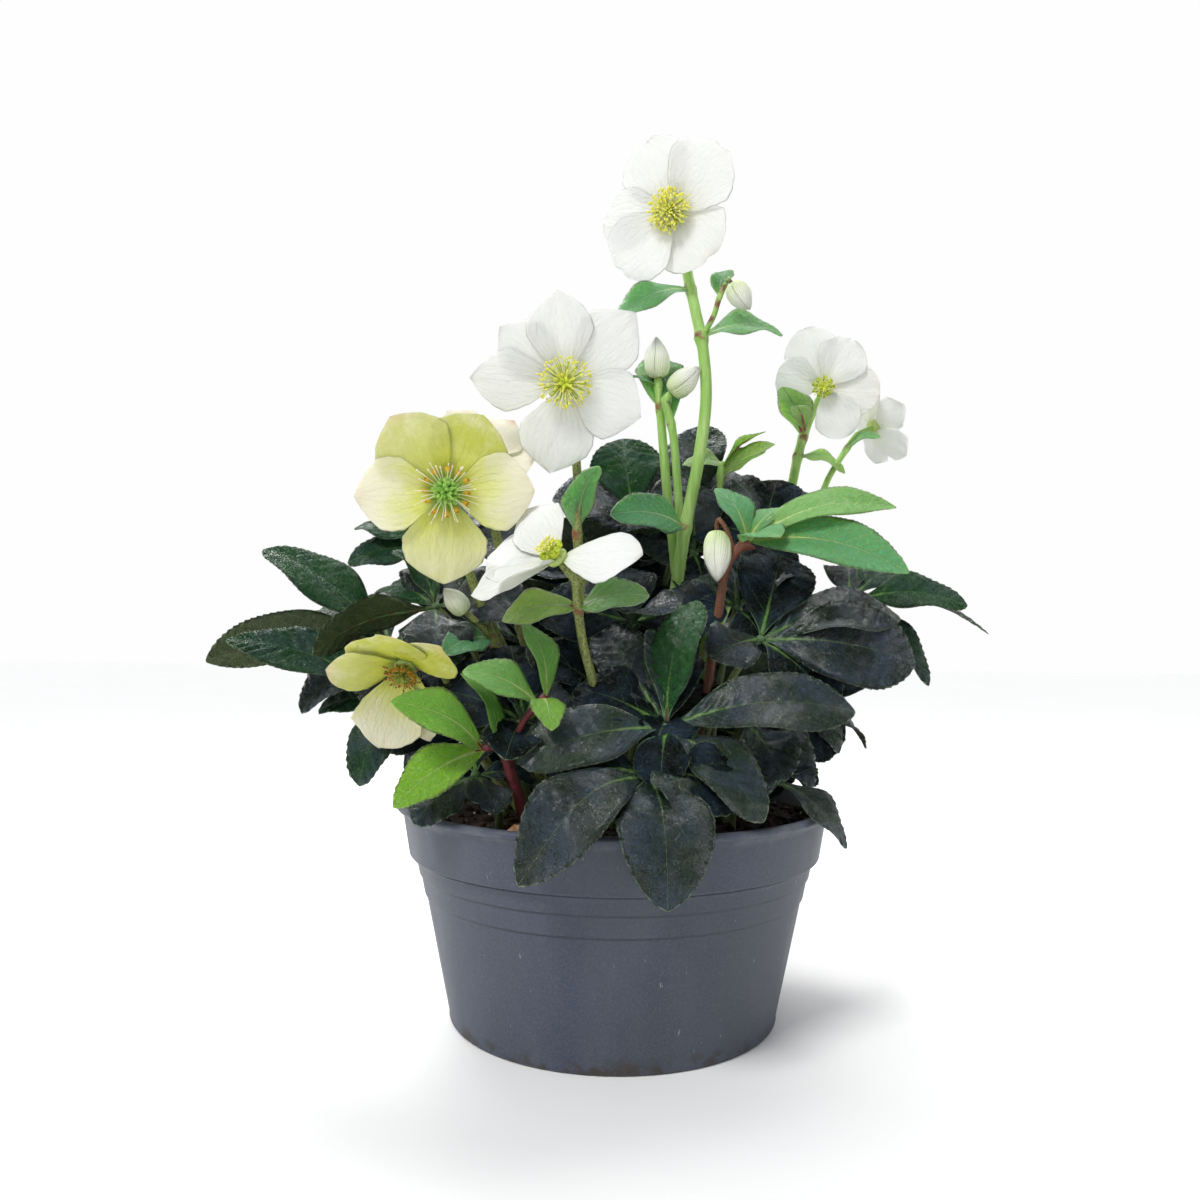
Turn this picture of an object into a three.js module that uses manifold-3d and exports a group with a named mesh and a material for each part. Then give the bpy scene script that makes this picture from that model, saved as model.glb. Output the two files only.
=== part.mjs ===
// A hellebore in a round nursery pot. The pot and its soil carry pedate leaves, two young
// light shoots and nine flower stems with their bracts, blooms, stamens and buds.
// Millimetres, +Z up, origin at the centre of the pot's underside. A direction is written as
// [turn, rise] in degrees: turn 0 is +X and 90 is +Y, rise is the angle above the level.
import * as THREE from "three";
import { mergeVertices } from "three/addons/utils/BufferGeometryUtils.js";
import Module from "manifold-3d";

const wasm = await Module();
wasm.setup();

// Pot
const rimRadius = 115;
const potHeight = 113;
const baseRadius = 86;
const wall = 2;
const collarBottom = 84; // height where the smooth upper band steps in
const lipHeight = 4;
const ledges = [75.5, 65]; // heights of the two fine ledges below the collar
const potSides = 24;
const drainHole = { radius: 5, ring: 60, count: 5 };

// Soil and what stands in it
const gap = 0.3; // clearance between pieces that touch
const soilTop = 104;
const holeDepth = 8;
const stemSides = 5;
const twigSides = 4; // petioles and the side twigs of a stem

// Blades
const leafThick = 0.8;
const tepalThick = 0.7;
const petiole = { foot: 2.1, hub: 1.6 };
const knobRadius = 3.4; // swelling where the leaflets of a leaf meet

const leafGreen = { color: 0x26352f, roughness: 0.5 };
const youngGreen = { color: 0x6aa846, roughness: 0.55 };
const stemGreen = { color: 0x9cc06a, roughness: 0.55 };
const stemSpeckled = { color: 0x7d8450, roughness: 0.6 };
const tepalWhite = { color: 0xf4f2ef, roughness: 0.6 };
const tepalCream = { color: 0xe6e4a0, roughness: 0.6 };
const stamenYellow = { color: 0xd9d34a, roughness: 0.7 };
const stamenGreen = { color: 0x9db347, roughness: 0.7 };
const budPale = { color: 0xe8ecc4, roughness: 0.6 };
const potGrey = { color: 0x555a64, roughness: 0.55 };
const soilBrown = { color: 0x241c18, roughness: 0.95 };
const dryTan = { color: 0xb58a62, roughness: 0.85 };

// Leaves: where the petiole leaves the soil, the hub where the leaflets meet, and each leaflet as
// [turn, rise, length, width, lean]. Lean rolls a leaflet about its midrib, its upper face to -Y.
const leaves = [
  { name: "leaf_front", foot: [14, -40], hub: [24, -74, 156], teeth: 2,
    leaflets: [[-168, -13, 71, 36, 46], [128, 40, 74, 26, 40], [106, 64, 52, 14, 0],
      [50, 71, 64, 32, 0], [-3, 9, 87, 36, 45], [-30, -37, 62, 32, 28]] },
  { name: "leaf_front_low", foot: [6, -56], hub: [16, -80, 134], teeth: 3, bow: 0.26,
    leaflets: [[-140, -30, 80, 36, 30], [-83, -45, 67, 42, 0], [-60, -24, 38, 26, 0]] },
  { name: "leaf_right_big", foot: [40, -22], hub: [72, -42, 197], teeth: 3,
    leaflets: [[-8, -8, 76, 50, 58], [9, 13, 74, 40, 35], [-141, -16, 34, 28, 40]] },
  { name: "leaf_right_up", foot: [50, -6], hub: [63, -20, 213], teeth: 1,
    leaflets: [[12, 40, 40, 30, 30], [107, 63, 36, 28, 0], [158, 29, 30, 24, 45]] },
  { name: "leaf_far_right", foot: [58, 8], hub: [130, 15, 219], teeth: 2,
    leaflets: [[-10, 1, 62, 30, 44], [4, -10, 81, 16, 20], [-24, -44, 62, 22, 30], [36, 26, 50, 26, 20]] },
  { name: "leaf_right_drop", foot: [60, -6], hub: [99, -5, 165], teeth: 1,
    leaflets: [[-16, -50, 34, 20, 30], [22, -30, 50, 24, 30]] },
  { name: "leaf_right_low", foot: [56, -24], hub: [66, -32, 155], teeth: 1,
    leaflets: [[-62, -38, 40, 30, 20], [-22, -38, 46, 26, 30], [16, -14, 38, 26, 50]] },
  { name: "leaf_right_rim", foot: [58, -44], hub: [74, -56, 131], teeth: 2,
    leaflets: [[-3, -38, 50, 22, 30], [-110, -10, 30, 22, 0]] },
  { name: "leaf_left_big", foot: [-48, -4], hub: [-119, -18, 192], teeth: 2,
    leaflets: [[-176, 37, 84, 36, 40], [178, -2, 98, 37, -46], [141, 18, 70, 32, 30]] },
  { name: "leaf_left_low", foot: [-56, -22], hub: [-109, -34, 164], teeth: 2,
    leaflets: [[-178, 22, 94, 26, 50], [169, -5, 46, 20, 40], [-135, -57, 47, 26, 20]] },
  { name: "leaf_left_mid", foot: [-44, -30], hub: [-92, -32, 212], teeth: 2,
    leaflets: [[-155, -20, 66, 30, -40], [150, 52, 40, 28, 0], [136, 14, 52, 28, 30]] },
  { name: "leaf_left_up", foot: [-40, 10], hub: [-96, 6, 244], teeth: 1,
    leaflets: [[-174, -7, 52, 28, 40], [169, 17, 54, 28, 30], [116, 50, 48, 30, 0]] },
  { name: "leaf_left_rim", foot: [-56, -50], hub: [-66, -64, 131], teeth: 2,
    leaflets: [[-141, -28, 38, 26, 30], [-60, -34, 26, 22, 0]] },
  { name: "leaf_top_left", foot: [-4, 34], hub: [10, 45, 268], teeth: 1,
    leaflets: [[120, 70, 54, 42, 30], [160, 30, 46, 32, 40], [76, 40, 38, 30, 0]] },
  { name: "leaf_top_mid", foot: [10, 38], hub: [46, 62, 276], teeth: 1,
    leaflets: [[64, 80, 54, 42, 0], [25, 30, 44, 34, 40], [120, 36, 44, 32, 30]] },
  { name: "leaf_top_front", foot: [22, 18], hub: [44, 26, 246], teeth: 1,
    leaflets: [[100, 76, 42, 34, 0], [120, 30, 34, 28, 40]] },
  { name: "leaf_top_right", foot: [34, 22], hub: [84, 26, 254], teeth: 1,
    leaflets: [[140, 62, 42, 32, 0], [34, 46, 44, 33, 20], [10, 10, 46, 34, 45]] },
  { name: "leaf_middle", foot: [6, -10], hub: [8, -20, 205], teeth: 1,
    leaflets: [[-120, 18, 44, 30, 30], [-60, 10, 42, 30, 30], [100, 50, 42, 30, 0]] },
  { name: "leaf_middle_low", foot: [-9, -37], hub: [-2, -40, 166], teeth: 1,
    leaflets: [[178, 32, 50, 30, 50], [-4, 30, 48, 32, 50]] },
  { name: "leaf_left_inner", foot: [-20, -52], hub: [-44, -60, 157], teeth: 1,
    leaflets: [[170, 20, 40, 30, 60], [-8, 14, 26, 28, 62], [-158, 50, 34, 24, 20]] },
];

// Leaves on the far side, spaced round the pot: [turn, distance of the hub, height of the hub]
const farLeaves = [[28, 88, 140], [62, 90, 196], [92, 88, 138], [126, 90, 192], [160, 86, 142],
  [100, 56, 226]];
const farSpread = [-64, 0, 64]; // turn of each leaflet from the leaf's own direction
const farLeaflet = { long: 68, wide: 42, rise: 16, lean: 24 };

// Flower stems: the route starts above the foot and its radius runs from foot to tip. Bracts and
// leaflets on a stem are [x, y, z, turn, rise, length, width, lean].
const stems = [
  { name: "stem_white_top", foot: [18, 2], radius: [4, 3], skin: stemGreen, bloom: "white_top",
    route: [[26, 3, 170], [36, 1, 250], [45, 0, 300], [48, 0, 330], [46, 1, 357], [42, 6, 380],
      [38, 13, 404]],
    branches: [{ radius: [1.6, 1.3], route: [[47, 0, 362], [52, 0, 374], [55, 0, 384]], bud: "bud_side" }],
    bracts: [[40, 9, 392, -160, -26, 50, 22, 45], [48, 0, 362, 8, 5, 46, 25, 40],
      [56, 0, 384, 60, 60, 22, 13, 0], [43, -3, 256, -151, 8, 46, 28, 55]] },
  { name: "stem_twin", foot: [30, 10], radius: [3.4, 2.3], skin: stemGreen,
    route: [[33, 14, 150], [34, 14, 218], [27, 12, 285], [24, 10, 318]], bud: "bud_twin_left",
    branches: [{ radius: [2.4, 2.2], route: [[34, 13, 208], [36, 10, 230], [33, 8, 284], [30, 6, 312]],
      bud: "bud_twin_right" }],
    bracts: [[28, 9, 325, 100, 64, 38, 27, 0], [31, 5, 316, 85, 66, 44, 13, 0],
      [22, 8, 336, 158, 24, 19, 13, 20]] },
  { name: "stem_white_mid", foot: [-4, -24], radius: [3, 2.4], skin: stemSpeckled, bloom: "white_mid",
    route: [[-9, -22, 170], [-14, -25, 205], [-20, -29, 245], [-21, -25, 283], [-24, -22, 308]],
    branches: [],
    bracts: [[-19, -34, 250, -41, 72, 37, 22, 0], [-24, -26, 306, 150, 48, 42, 12, 0]] },
  { name: "stem_cream_big", foot: [-30, -24], radius: [3, 2.4], skin: stemSpeckled, bloom: "cream_big",
    route: [[-54, -28, 165], [-64, -36, 200], [-74, -44, 230], [-81, -48, 250]],
    branches: [{ radius: [1.8, 1.4], route: [[-62, -34, 195], [-66, -42, 201]], bud: "bud_left" }],
    bracts: [[-62, -37, 196, -131, -10, 32, 20, 40]] },
  { name: "stem_cream_back", foot: [-24, -8], radius: [2.8, 2.2], skin: stemSpeckled, bloom: "cream_back",
    route: [[-40, -14, 170], [-56, -22, 220], [-66, -24, 264]],
    branches: [], bracts: [] },
  { name: "stem_white_low", foot: [0, -46], radius: [3, 2.4], skin: stemSpeckled, bloom: "white_low",
    route: [[-6, -51, 145], [-10, -58, 172], [-16, -66, 196]],
    branches: [],
    bracts: [[-20, -76, 209, -20, 9, 35, 20, 50], [-22, -77, 209, -172, -8, 36, 20, 50]] },
  { name: "stem_cream_low", foot: [-44, -40], radius: [2.6, 2.2], skin: stemSpeckled, bloom: "cream_low",
    route: [[-66, -32, 134], [-82, -30, 165], [-92, -38, 188]],
    branches: [], bracts: [] },
  { name: "stem_right", foot: [44, 32], radius: [3.4, 2.6], skin: stemGreen, bloom: "white_right",
    route: [[50, 38, 170], [68, 46, 225], [100, 55, 275], [110, 61, 312], [116, 64, 330]],
    branches: [{ radius: [2.2, 1.7], route: [[76, 48, 236], [116, 55, 272], [127, 56, 295], [135, 57, 308]],
      bloom: "white_far" }],
    bracts: [[113, 58, 320, -128, 44, 38, 21, 0], [112, 58, 322, -112, 24, 26, 13, 0],
      [111, 57, 308, -14, -20, 30, 18, 30],
      [138, 56, 312, -40, 14, 22, 15, 30]] },
  { name: "stem_tulip_bud", foot: [38, 46], radius: [2.4, 1.9], skin: stemGreen,
    route: [[50, 50, 180], [58, 42, 243], [60, 38, 285], [61, 38, 300]],
    branches: [],
    bracts: [[60, 38, 294, -14, 44, 34, 15, 0], [60, 37, 291, -20, 32, 36, 15, 50],
      [60, 39, 291, 22, 34, 34, 15, -50],
      [60, 38, 298, 150, 8, 26, 17, 40]] },
];

// Young shoots that carry light leaflets only, written as the stems are
const shoots = [
  { name: "shoot_right", foot: [42, -4], radius: [3, 2.6], skin: youngGreen,
    route: [[46, -14, 150], [52, -28, 207], [58, -32, 238], [67, -34, 247]],
    branches: [{ radius: [1.4, 1.1], route: [[60, -32, 240], [56, -34, 252],
      [52, -33, 258]], bud: "bud_hanging" }],
    bracts: [[67, -33, 246, 150, 60, 34, 22, 20], [66, -35, 245, -62, 4, 28, 24, 20],
      [68, -33, 246, -20, -10, 80, 31, 52],
      [68, -32, 248, -6, 14, 76, 28, 35], [68, -31, 250, 30, 40, 30, 14, 20]] },
  { name: "shoot_left", foot: [-42, -64], radius: [3, 2.4], skin: youngGreen,
    route: [[-45, -67, 121], [-49, -72, 135], [-51, -76, 146]],
    branches: [{ radius: [1.9, 1.3], route: [[-50, -74, 142], [-41, -76, 160], [-32, -77, 170]] },
      { radius: [1.8, 1.3], route: [[-50, -75, 143], [-56, -78, 146], [-61, -80, 145]] }],
    bracts: [[-61, -80, 146, -146, 30, 50, 26, 50], [-59, -79, 144, -155, -27, 49, 24, 45],
      [-32, -76, 170, 150, 70, 38, 23, 0],
      [-36, -77, 166, -166, 25, 38, 23, 40], [-32, -77, 168, -80, -24, 28, 15, 0],
      [-53, -76, 146, 160, 63, 40, 21, 0]] },
];

// Blooms: centre, facing direction, and each tepal as [angle seen from the front, length, width,
// layer, own cup]. Cup lifts the tepals towards the front, curl takes their tips back again, and
// tip is small for a blunt tepal and large for a pointed one.
const blooms = [
  { name: "white_top", centre: [30, 4, 432], face: [-118, -4], cup: 0.36, curl: 0.24,
    tip: 0.66, skin: tepalWhite,
    tepals: [[108, 45, 41, 0], [42, 44, 45, 1], [180, 43, 34, 1], [224, 43, 42, 2], [308, 39, 42, 0]],
    boss: { reach: 13, stamens: 7, nectaries: 5, carpels: 2, skin: stamenYellow } },
  { name: "white_mid", centre: [-27, -38, 326], face: [-87, -10], cup: 0.2, curl: 0.16,
    tip: 0.95, skin: tepalWhite,
    tepals: [[45, 50, 34, 0], [96, 46, 33, 1], [140, 43, 31, 0], [178, 48, 30, 1], [261, 46, 38, 0],
      [337, 42, 36, 1]],
    boss: { reach: 12, stamens: 7, nectaries: 5, carpels: 2, skin: stamenYellow } },
  { name: "cream_big", centre: [-82, -64, 266], face: [-82, -4], cup: 0.22, curl: 0.14,
    tip: 0.8, skin: tepalCream,
    tepals: [[2, 42, 37, 1], [66, 41, 40, 0], [128, 44, 38, 1], [184, 43, 35, 2], [269, 44, 40, 0]],
    boss: { reach: 11, stamens: 5, nectaries: 6, carpels: 4, skin: stamenGreen } },
  { name: "white_low", centre: [-27, -86, 233], face: [-140, 42], cup: 0.4, curl: 0.15,
    tip: 0.72, skin: tepalWhite,
    tepals: [[24, 38, 35, 0, -0.28], [144, 41, 28, 1, 0.46], [188, 42, 34, 0, 0.42], [226, 43, 30, 1, 0.36],
      [272, 32, 30, 2, 0.64]],
    boss: { reach: 8, stamens: 6, nectaries: 2, carpels: 1, skin: stamenYellow } },
  { name: "cream_low", centre: [-100, -66.6, 182.5], face: [-100, -50], cup: 0.7, curl: 0.25,
    tip: 0.72, skin: tepalCream,
    tepals: [[92, 35, 38, 0, 0.6], [42, 37, 32, 1, 0.5], [154, 34, 32, 1, 0.66], [244, 35, 33, 1, 1.02],
      [284, 35, 18, 0, 0.86]],
    boss: { reach: 8, stamens: 5, nectaries: 3, carpels: 1, skin: stamenGreen } },
  { name: "white_right", centre: [123, 54, 348], face: [-103, -8], cup: 0.2, curl: 0.1,
    tip: 0.72, skin: tepalWhite,
    tepals: [[108, 38, 31, 0], [163, 30, 27, 1], [55, 33, 30, 1], [352, 34, 30, 0], [295, 34, 27, 1]],
    boss: { reach: 6, stamens: 5, nectaries: 4, carpels: 1, skin: stamenGreen } },
  { name: "white_far", centre: [155, 63, 326], face: [24, 24], cup: 0.3, curl: 0.1,
    tip: 0.72, skin: tepalWhite,
    tepals: [[90, 28, 23, 0], [162, 26, 21, 1], [234, 27, 22, 0], [306, 27, 22, 1],
      [18, 26, 21, 2]], boss: null },
  { name: "cream_back", centre: [-70, -32, 288], face: [-76, 26], cup: 0.3, curl: 0.12,
    tip: 0.8, skin: tepalCream,
    tepals: [[122, 32, 27, 0], [50, 28, 26, 1], [356, 27, 24, 0], [194, 28, 24, 1],
      [268, 26, 24, 2]], boss: null },
];
const receptacle = { radius: 5.5, half: 1.8 }; // the disc that a bloom's tepals grow from

// Closed buds: where the base sits, direction, length and radius
const buds = [
  { name: "bud_twin_left", base: [22, 8, 341], aim: [-110, 79], long: 22, radius: 6.5 },
  { name: "bud_twin_right", base: [29, 2, 331], aim: [-20, 40], long: 21, radius: 6.5 },
  { name: "bud_side", base: [62, -2, 390], aim: [-35, -56], long: 18, radius: 6 },
  { name: "bud_hanging", base: [51, -33, 251], aim: [-93, -64], long: 28, radius: 6.5 },
  { name: "bud_left", base: [-74, -49, 209], aim: [-150, 42], long: 16, radius: 5 },
];

const rad = THREE.MathUtils.degToRad;

function vector([x, y, z]) {
  return new THREE.Vector3(x, y, z);
}

function heading(turn, rise) {
  const level = Math.cos(rad(rise));
  return new THREE.Vector3(level * Math.cos(rad(turn)), level * Math.sin(rad(turn)), Math.sin(rad(rise)));
}

// A closed set of points and triangles as a manifold solid, turned so that it faces out
function solidOf(points, faces) {
  const vertProperties = new Float32Array(points.flatMap((p) => [p.x, p.y, p.z]));
  const build = (order) =>
    new wasm.Manifold(new wasm.Mesh({ numProp: 3, vertProperties, triVerts: new Uint32Array(order.flat()) }));
  const solid = build(faces);
  return solid.volume() > 0 ? solid : build(faces.map(([a, b, c]) => [a, c, b]));
}

function solidFromGeometry(geometry) {
  const bare = geometry.clone();
  bare.deleteAttribute("normal");
  bare.deleteAttribute("uv");
  const merged = mergeVertices(bare, 1e-4);
  const places = merged.getAttribute("position");
  const points = [];
  for (let i = 0; i < places.count; i++) points.push(new THREE.Vector3().fromBufferAttribute(places, i));
  const order = Array.from(merged.index.array);
  const faces = [];
  for (let i = 0; i < order.length; i += 3) faces.push(order.slice(i, i + 3));
  return solidOf(points, faces);
}

function fuse(solids) {
  return solids.reduce((whole, piece) => whole.add(piece));
}

function meshOf(name, solid, skin) {
  const made = solid.getMesh();
  const geometry = new THREE.BufferGeometry();
  geometry.setAttribute("position", new THREE.BufferAttribute(new Float32Array(made.vertProperties), 3));
  geometry.setIndex(Array.from(made.triVerts));
  geometry.computeVertexNormals();
  const mesh = new THREE.Mesh(geometry, new THREE.MeshStandardMaterial({ metalness: 0, ...skin }));
  mesh.name = name;
  return mesh;
}

// Two margins and a midrib from foot to tip, zipped into triangles. The lower face repeats the
// upper one, shifted by the blade's thickness, so the two never cross.
function plate(rib, margins, drop) {
  const tip = rib.length - 1;
  const points = rib.map((station) => station.at);
  const faces = [];
  const chains = margins.map((margin) => {
    const first = points.length;
    margin.forEach((station) => points.push(station.at));
    const chain = margin.map((station, i) => ({ q: station.q, id: first + i }));
    return [{ q: 0, id: 0 }, ...chain, { q: 1, id: tip }];
  });
  const ribChain = rib.map((station, i) => ({ q: station.q, id: i }));
  chains.forEach((chain, side) => {
    let i = 0;
    let j = 0;
    while (i < chain.length - 1 || j < ribChain.length - 1) {
      const ribDone = j === ribChain.length - 1;
      const alongMargin = ribDone || (i < chain.length - 1 && chain[i + 1].q <= ribChain[j + 1].q);
      const corner = alongMargin ? chain[i + 1].id : ribChain[j + 1].id;
      const face = [ribChain[j].id, chain[i].id, corner];
      if (new Set(face).size === 3) faces.push(side ? face.reverse() : face);
      if (alongMargin) i++;
      else j++;
    }
  });
  const rim = [...chains[0], ...chains[1].slice(1, -1).reverse()].map((c) => c.id);
  const count = points.length;
  const lower = points.map((p) => p.clone().add(drop));
  const under = faces.map(([a, b, c]) => [a + count, c + count, b + count]);
  const edge = rim.flatMap((a, k) => {
    const b = rim[(k + 1) % rim.length];
    return [[b, a, a + count], [b, a + count, b + count]];
  });
  return solidOf(points.concat(lower), faces.concat(under, edge));
}

// Half-width of a leaflet at q along its midrib: narrow foot, widest at the peak, short point
const peaks = { dark: 0.6, light: 0.53 };
const leafFoot = 0.9;
function leafHalf(q, wide, peak) {
  const power = Math.log(0.5) / Math.log(peak);
  return leafFoot * (1 - q) ** 2 + (wide / 2) * Math.sin(Math.PI * q ** power);
}

// Margin stations of a leaflet as [q, share of the half-width]: a tooth is a wide one and a notch
const margins = {
  0: [[0.22, 1.04], [0.66, 1.06]],
  1: [[0.2, 1], [0.62, 1.08], [0.7, 0.94], [0.88, 1.12]],
  2: [[0.15, 1], [0.42, 1], [0.66, 1.06], [0.73, 0.92], [0.89, 1.1]],
  3: [[0.14, 1], [0.38, 1], [0.6, 1.05], [0.65, 0.94], [0.78, 1.08], [0.82, 0.92], [0.93, 1.14]],
};
const leafRib = { 0: [0, 0.5, 1], 1: [0, 0.5, 1], 2: [0, 0.5, 1], 3: [0, 0.36, 0.72, 1] };

const light = { bow: 0.12, peak: peaks.light }; // bracts and the leaflets of young shoots
const plain = { teeth: 0, bow: 0.1, fold: 0.22, start: 0, peak: peaks.dark };
function blade(base, [turn, rise, long, wide, lean], own = {}) {
  const { teeth, bow, fold, start, peak } = { ...plain, ...own };
  const along = heading(turn, rise);
  const roll = along.x < 0 ? -lean : lean;
  const up = heading(turn, rise + 90).applyAxisAngle(along, rad(roll));
  const across = new THREE.Vector3().crossVectors(up, along);
  const rib = (q) =>
    base.clone().addScaledVector(along, start + (long - start) * q)
      .addScaledVector(up, bow * long * Math.sin(Math.PI * q) + leafThick / 2);
  const edge = (side) =>
    margins[teeth].map(([q, share]) => {
      const half = leafHalf(q, wide, peak) * share;
      return { q, at: rib(q).addScaledVector(across, side * half).addScaledVector(up, fold * half) };
    });
  const spine = leafRib[teeth].map((q) => ({ q, at: rib(q) }));
  return plate(spine, [edge(1), edge(-1)], up.clone().multiplyScalar(-leafThick));
}

// A closed tube through the points, its section carried along without twisting
function tube(points, [startRadius, endRadius], sides = stemSides) {
  const ring = [];
  let reach = new THREE.Vector3(1, 0, 0);
  const corners = points.flatMap((point, i) => {
    const ahead = points[Math.min(i + 1, points.length - 1)];
    const behind = points[Math.max(i - 1, 0)];
    const along = ahead.clone().sub(behind).normalize();
    reach = reach.addScaledVector(along, -reach.dot(along)).normalize();
    const across = new THREE.Vector3().crossVectors(along, reach);
    const radius = THREE.MathUtils.lerp(startRadius, endRadius, i / (points.length - 1));
    return Array.from({ length: sides }, (_, k) => {
      const angle = (2 * Math.PI * k) / sides;
      return point.clone().addScaledVector(reach, radius * Math.cos(angle))
        .addScaledVector(across, radius * Math.sin(angle));
    });
  });
  const last = (points.length - 1) * sides;
  for (let i = 0; i < points.length - 1; i++)
    for (let k = 0; k < sides; k++) {
      const a = i * sides + k;
      const b = i * sides + ((k + 1) % sides);
      ring.push([a, b, b + sides], [a, b + sides, a + sides]);
    }
  for (let k = 1; k < sides - 1; k++) ring.push([0, k + 1, k], [last, last + k, last + k + 1]);
  return solidOf(corners, ring);
}

// The straight part of a stem that stands in its hole in the soil, then the rest of its route
function standing([x, y], rest) {
  return [vector([x, y, soilTop - holeDepth + gap]), vector([x, y, soilTop + 3]), ...rest];
}

function petioleTube(foot, hub) {
  const top = vector([...foot, soilTop + 3]);
  const tall = hub.z - top.z;
  const curve = new THREE.CubicBezierCurve3(
    top,
    vector([foot[0], foot[1], top.z + 0.45 * tall]),
    hub.clone().lerp(top, 0.3).setZ(hub.z - 0.12 * tall),
    hub,
  );
  return tube(standing(foot, curve.getPoints(3).slice(1)), [petiole.foot, petiole.hub], twigSides);
}

function leaf({ foot, hub, leaflets, teeth, bow = plain.bow }) {
  const centre = vector(hub);
  const knob = new THREE.OctahedronGeometry(knobRadius).translate(...hub);
  return fuse([
    petioleTube(foot, centre),
    solidFromGeometry(knob),
    ...leaflets.map((entry) => blade(centre, entry, { teeth, bow, start: 1.4 })),
  ]);
}

function farLeaf([turn, distance, height]) {
  const out = heading(turn, 0);
  const hub = out.clone().multiplyScalar(distance).setZ(height);
  const foot = [out.x * distance * 0.5, out.y * distance * 0.5];
  const leaflets = farSpread.map((spread) => {
    const share = 1 - Math.abs(spread) / 340;
    const { long, wide, rise, lean } = farLeaflet;
    return [turn + spread, rise, long * share, wide * share, lean];
  });
  return { foot, hub: hub.toArray(), leaflets, teeth: 1 };
}

const stemStep = 36; // length of a straight piece of a curved stem

// A smooth line through the points; its last piece stays straight
function curved(points) {
  const curve = new THREE.CatmullRomCurve3(points.slice(0, -1), false, "centripetal");
  const pieces = Math.max(2, Math.round(curve.getLength() / stemStep));
  return [...curve.getPoints(pieces), points[points.length - 1]];
}

// A bloom's own frame: forward out of the flower, right and up as seen from its front
function bloomFrame({ centre, face }) {
  const forward = heading(...face);
  const right = forward.clone().negate().cross(new THREE.Vector3(0, 0, 1)).normalize();
  const up = new THREE.Vector3().crossVectors(right, forward.clone().negate());
  return { centre: vector(centre), forward, right, up };
}

const neck = 12; // last stretch of a stem, straight into the back of its bloom
const budNeck = 5; // the same for a bud

// The stations of a stem or twig, carried on straight into the back of the bloom or bud it ends in
function stationsTo({ route, bloom, bud: closed }) {
  const stations = route.map(vector);
  if (bloom) {
    const { centre, forward } = bloomFrame(blooms.find(({ name }) => name === bloom));
    stations.push(centre.clone().addScaledVector(forward, -receptacle.half - neck));
    stations.push(centre.clone().addScaledVector(forward, -receptacle.half - gap));
  }
  if (closed) {
    const { base, aim } = buds.find(({ name }) => name === closed);
    stations.push(vector(base).addScaledVector(heading(...aim), -budNeck));
    stations.push(vector(base));
  }
  return stations;
}

// The nearest point to a place on any of the given lines
function nearestOn(lines, place) {
  let best = null;
  for (const line of lines)
    for (let i = 0; i < line.length - 1; i++) {
      const at = new THREE.Line3(line[i], line[i + 1]).closestPointToPoint(place, true, new THREE.Vector3());
      if (!best || at.distanceTo(place) < best.distanceTo(place)) best = at;
    }
  return best;
}

function stem(entry, teeth = 0) {
  const { foot, radius, branches, bracts } = entry;
  const top = vector([...foot, soilTop + 3]);
  const mainLine = standing(foot, curved([top, ...stationsTo(entry)]).slice(1));
  const armLines = [];
  for (const arm of branches) {
    const [start, ...rest] = stationsTo(arm);
    armLines.push(curved([nearestOn([mainLine, ...armLines], start), ...rest]));
  }
  const arms = branches.map((arm, i) => tube(armLines[i], arm.radius, twigSides));
  const blades = bracts.map(([x, y, z, ...shape]) =>
    blade(nearestOn([mainLine, ...armLines], vector([x, y, z])), shape, { ...light, teeth }));
  return fuse([tube(mainLine, radius), ...arms, ...blades]);
}

// Half-width of a tepal at q: a broad claw, then a round blade
const tepalPeak = Math.log(0.5) / Math.log(0.58);
function tepalHalf(q, wide, tip) {
  return (wide / 2) * (0.14 * (1 - q) ** 2 + Math.sin(Math.PI * q ** tepalPeak) ** tip);
}

const tepalMargin = [0.15, 0.4, 0.68, 0.9];
const tepalRib = [0, 0.5, 1];
const clawStart = 3; // distance from the middle of the disc where a tepal starts
const bowlStart = 4.5; // the bowl rises outside this
const layers = { first: -1.1, lift: 1.5 };

// Every tepal of a bloom lies on the same shallow bowl, each layer a little above the last
function tepal(frame, { cup, curl, tip, tepals }, [angle, long, wide, layer, ownCup = cup]) {
  const { forward } = frame;
  const span = Math.max(...tepals.map((entry) => entry[1]));
  const along = frame.right.clone().multiplyScalar(Math.cos(rad(angle)))
    .addScaledVector(frame.up, Math.sin(rad(angle)));
  const across = new THREE.Vector3().crossVectors(forward, along);
  const place = (q, side, half) => {
    const out = clawStart + (long - clawStart) * q;
    const bowl = Math.max(0, Math.hypot(out, half) - bowlStart);
    const lift = ownCup * bowl - (curl * bowl * bowl) / span + layers.first + layers.lift * layer;
    return frame.centre.clone().addScaledVector(along, out).addScaledVector(across, side * half)
      .addScaledVector(forward, lift);
  };
  const edge = (side) => tepalMargin.map((q) => ({ q, at: place(q, side, tepalHalf(q, wide, tip)) }));
  const rib = tepalRib.map((q) => ({ q, at: place(q, 0, 0) }));
  return plate(rib, [edge(1), edge(-1)], forward.clone().multiplyScalar(-tepalThick));
}

function bloomTepals(bloom) {
  const frame = bloomFrame(bloom);
  const { centre, forward } = frame;
  const ends = [-receptacle.half, receptacle.half].map((d) => centre.clone().addScaledVector(forward, d));
  const disc = tube(ends, [receptacle.radius, receptacle.radius], 6);
  return fuse([disc, ...bloom.tepals.map((entry) => tepal(frame, bloom, entry))]);
}

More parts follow.
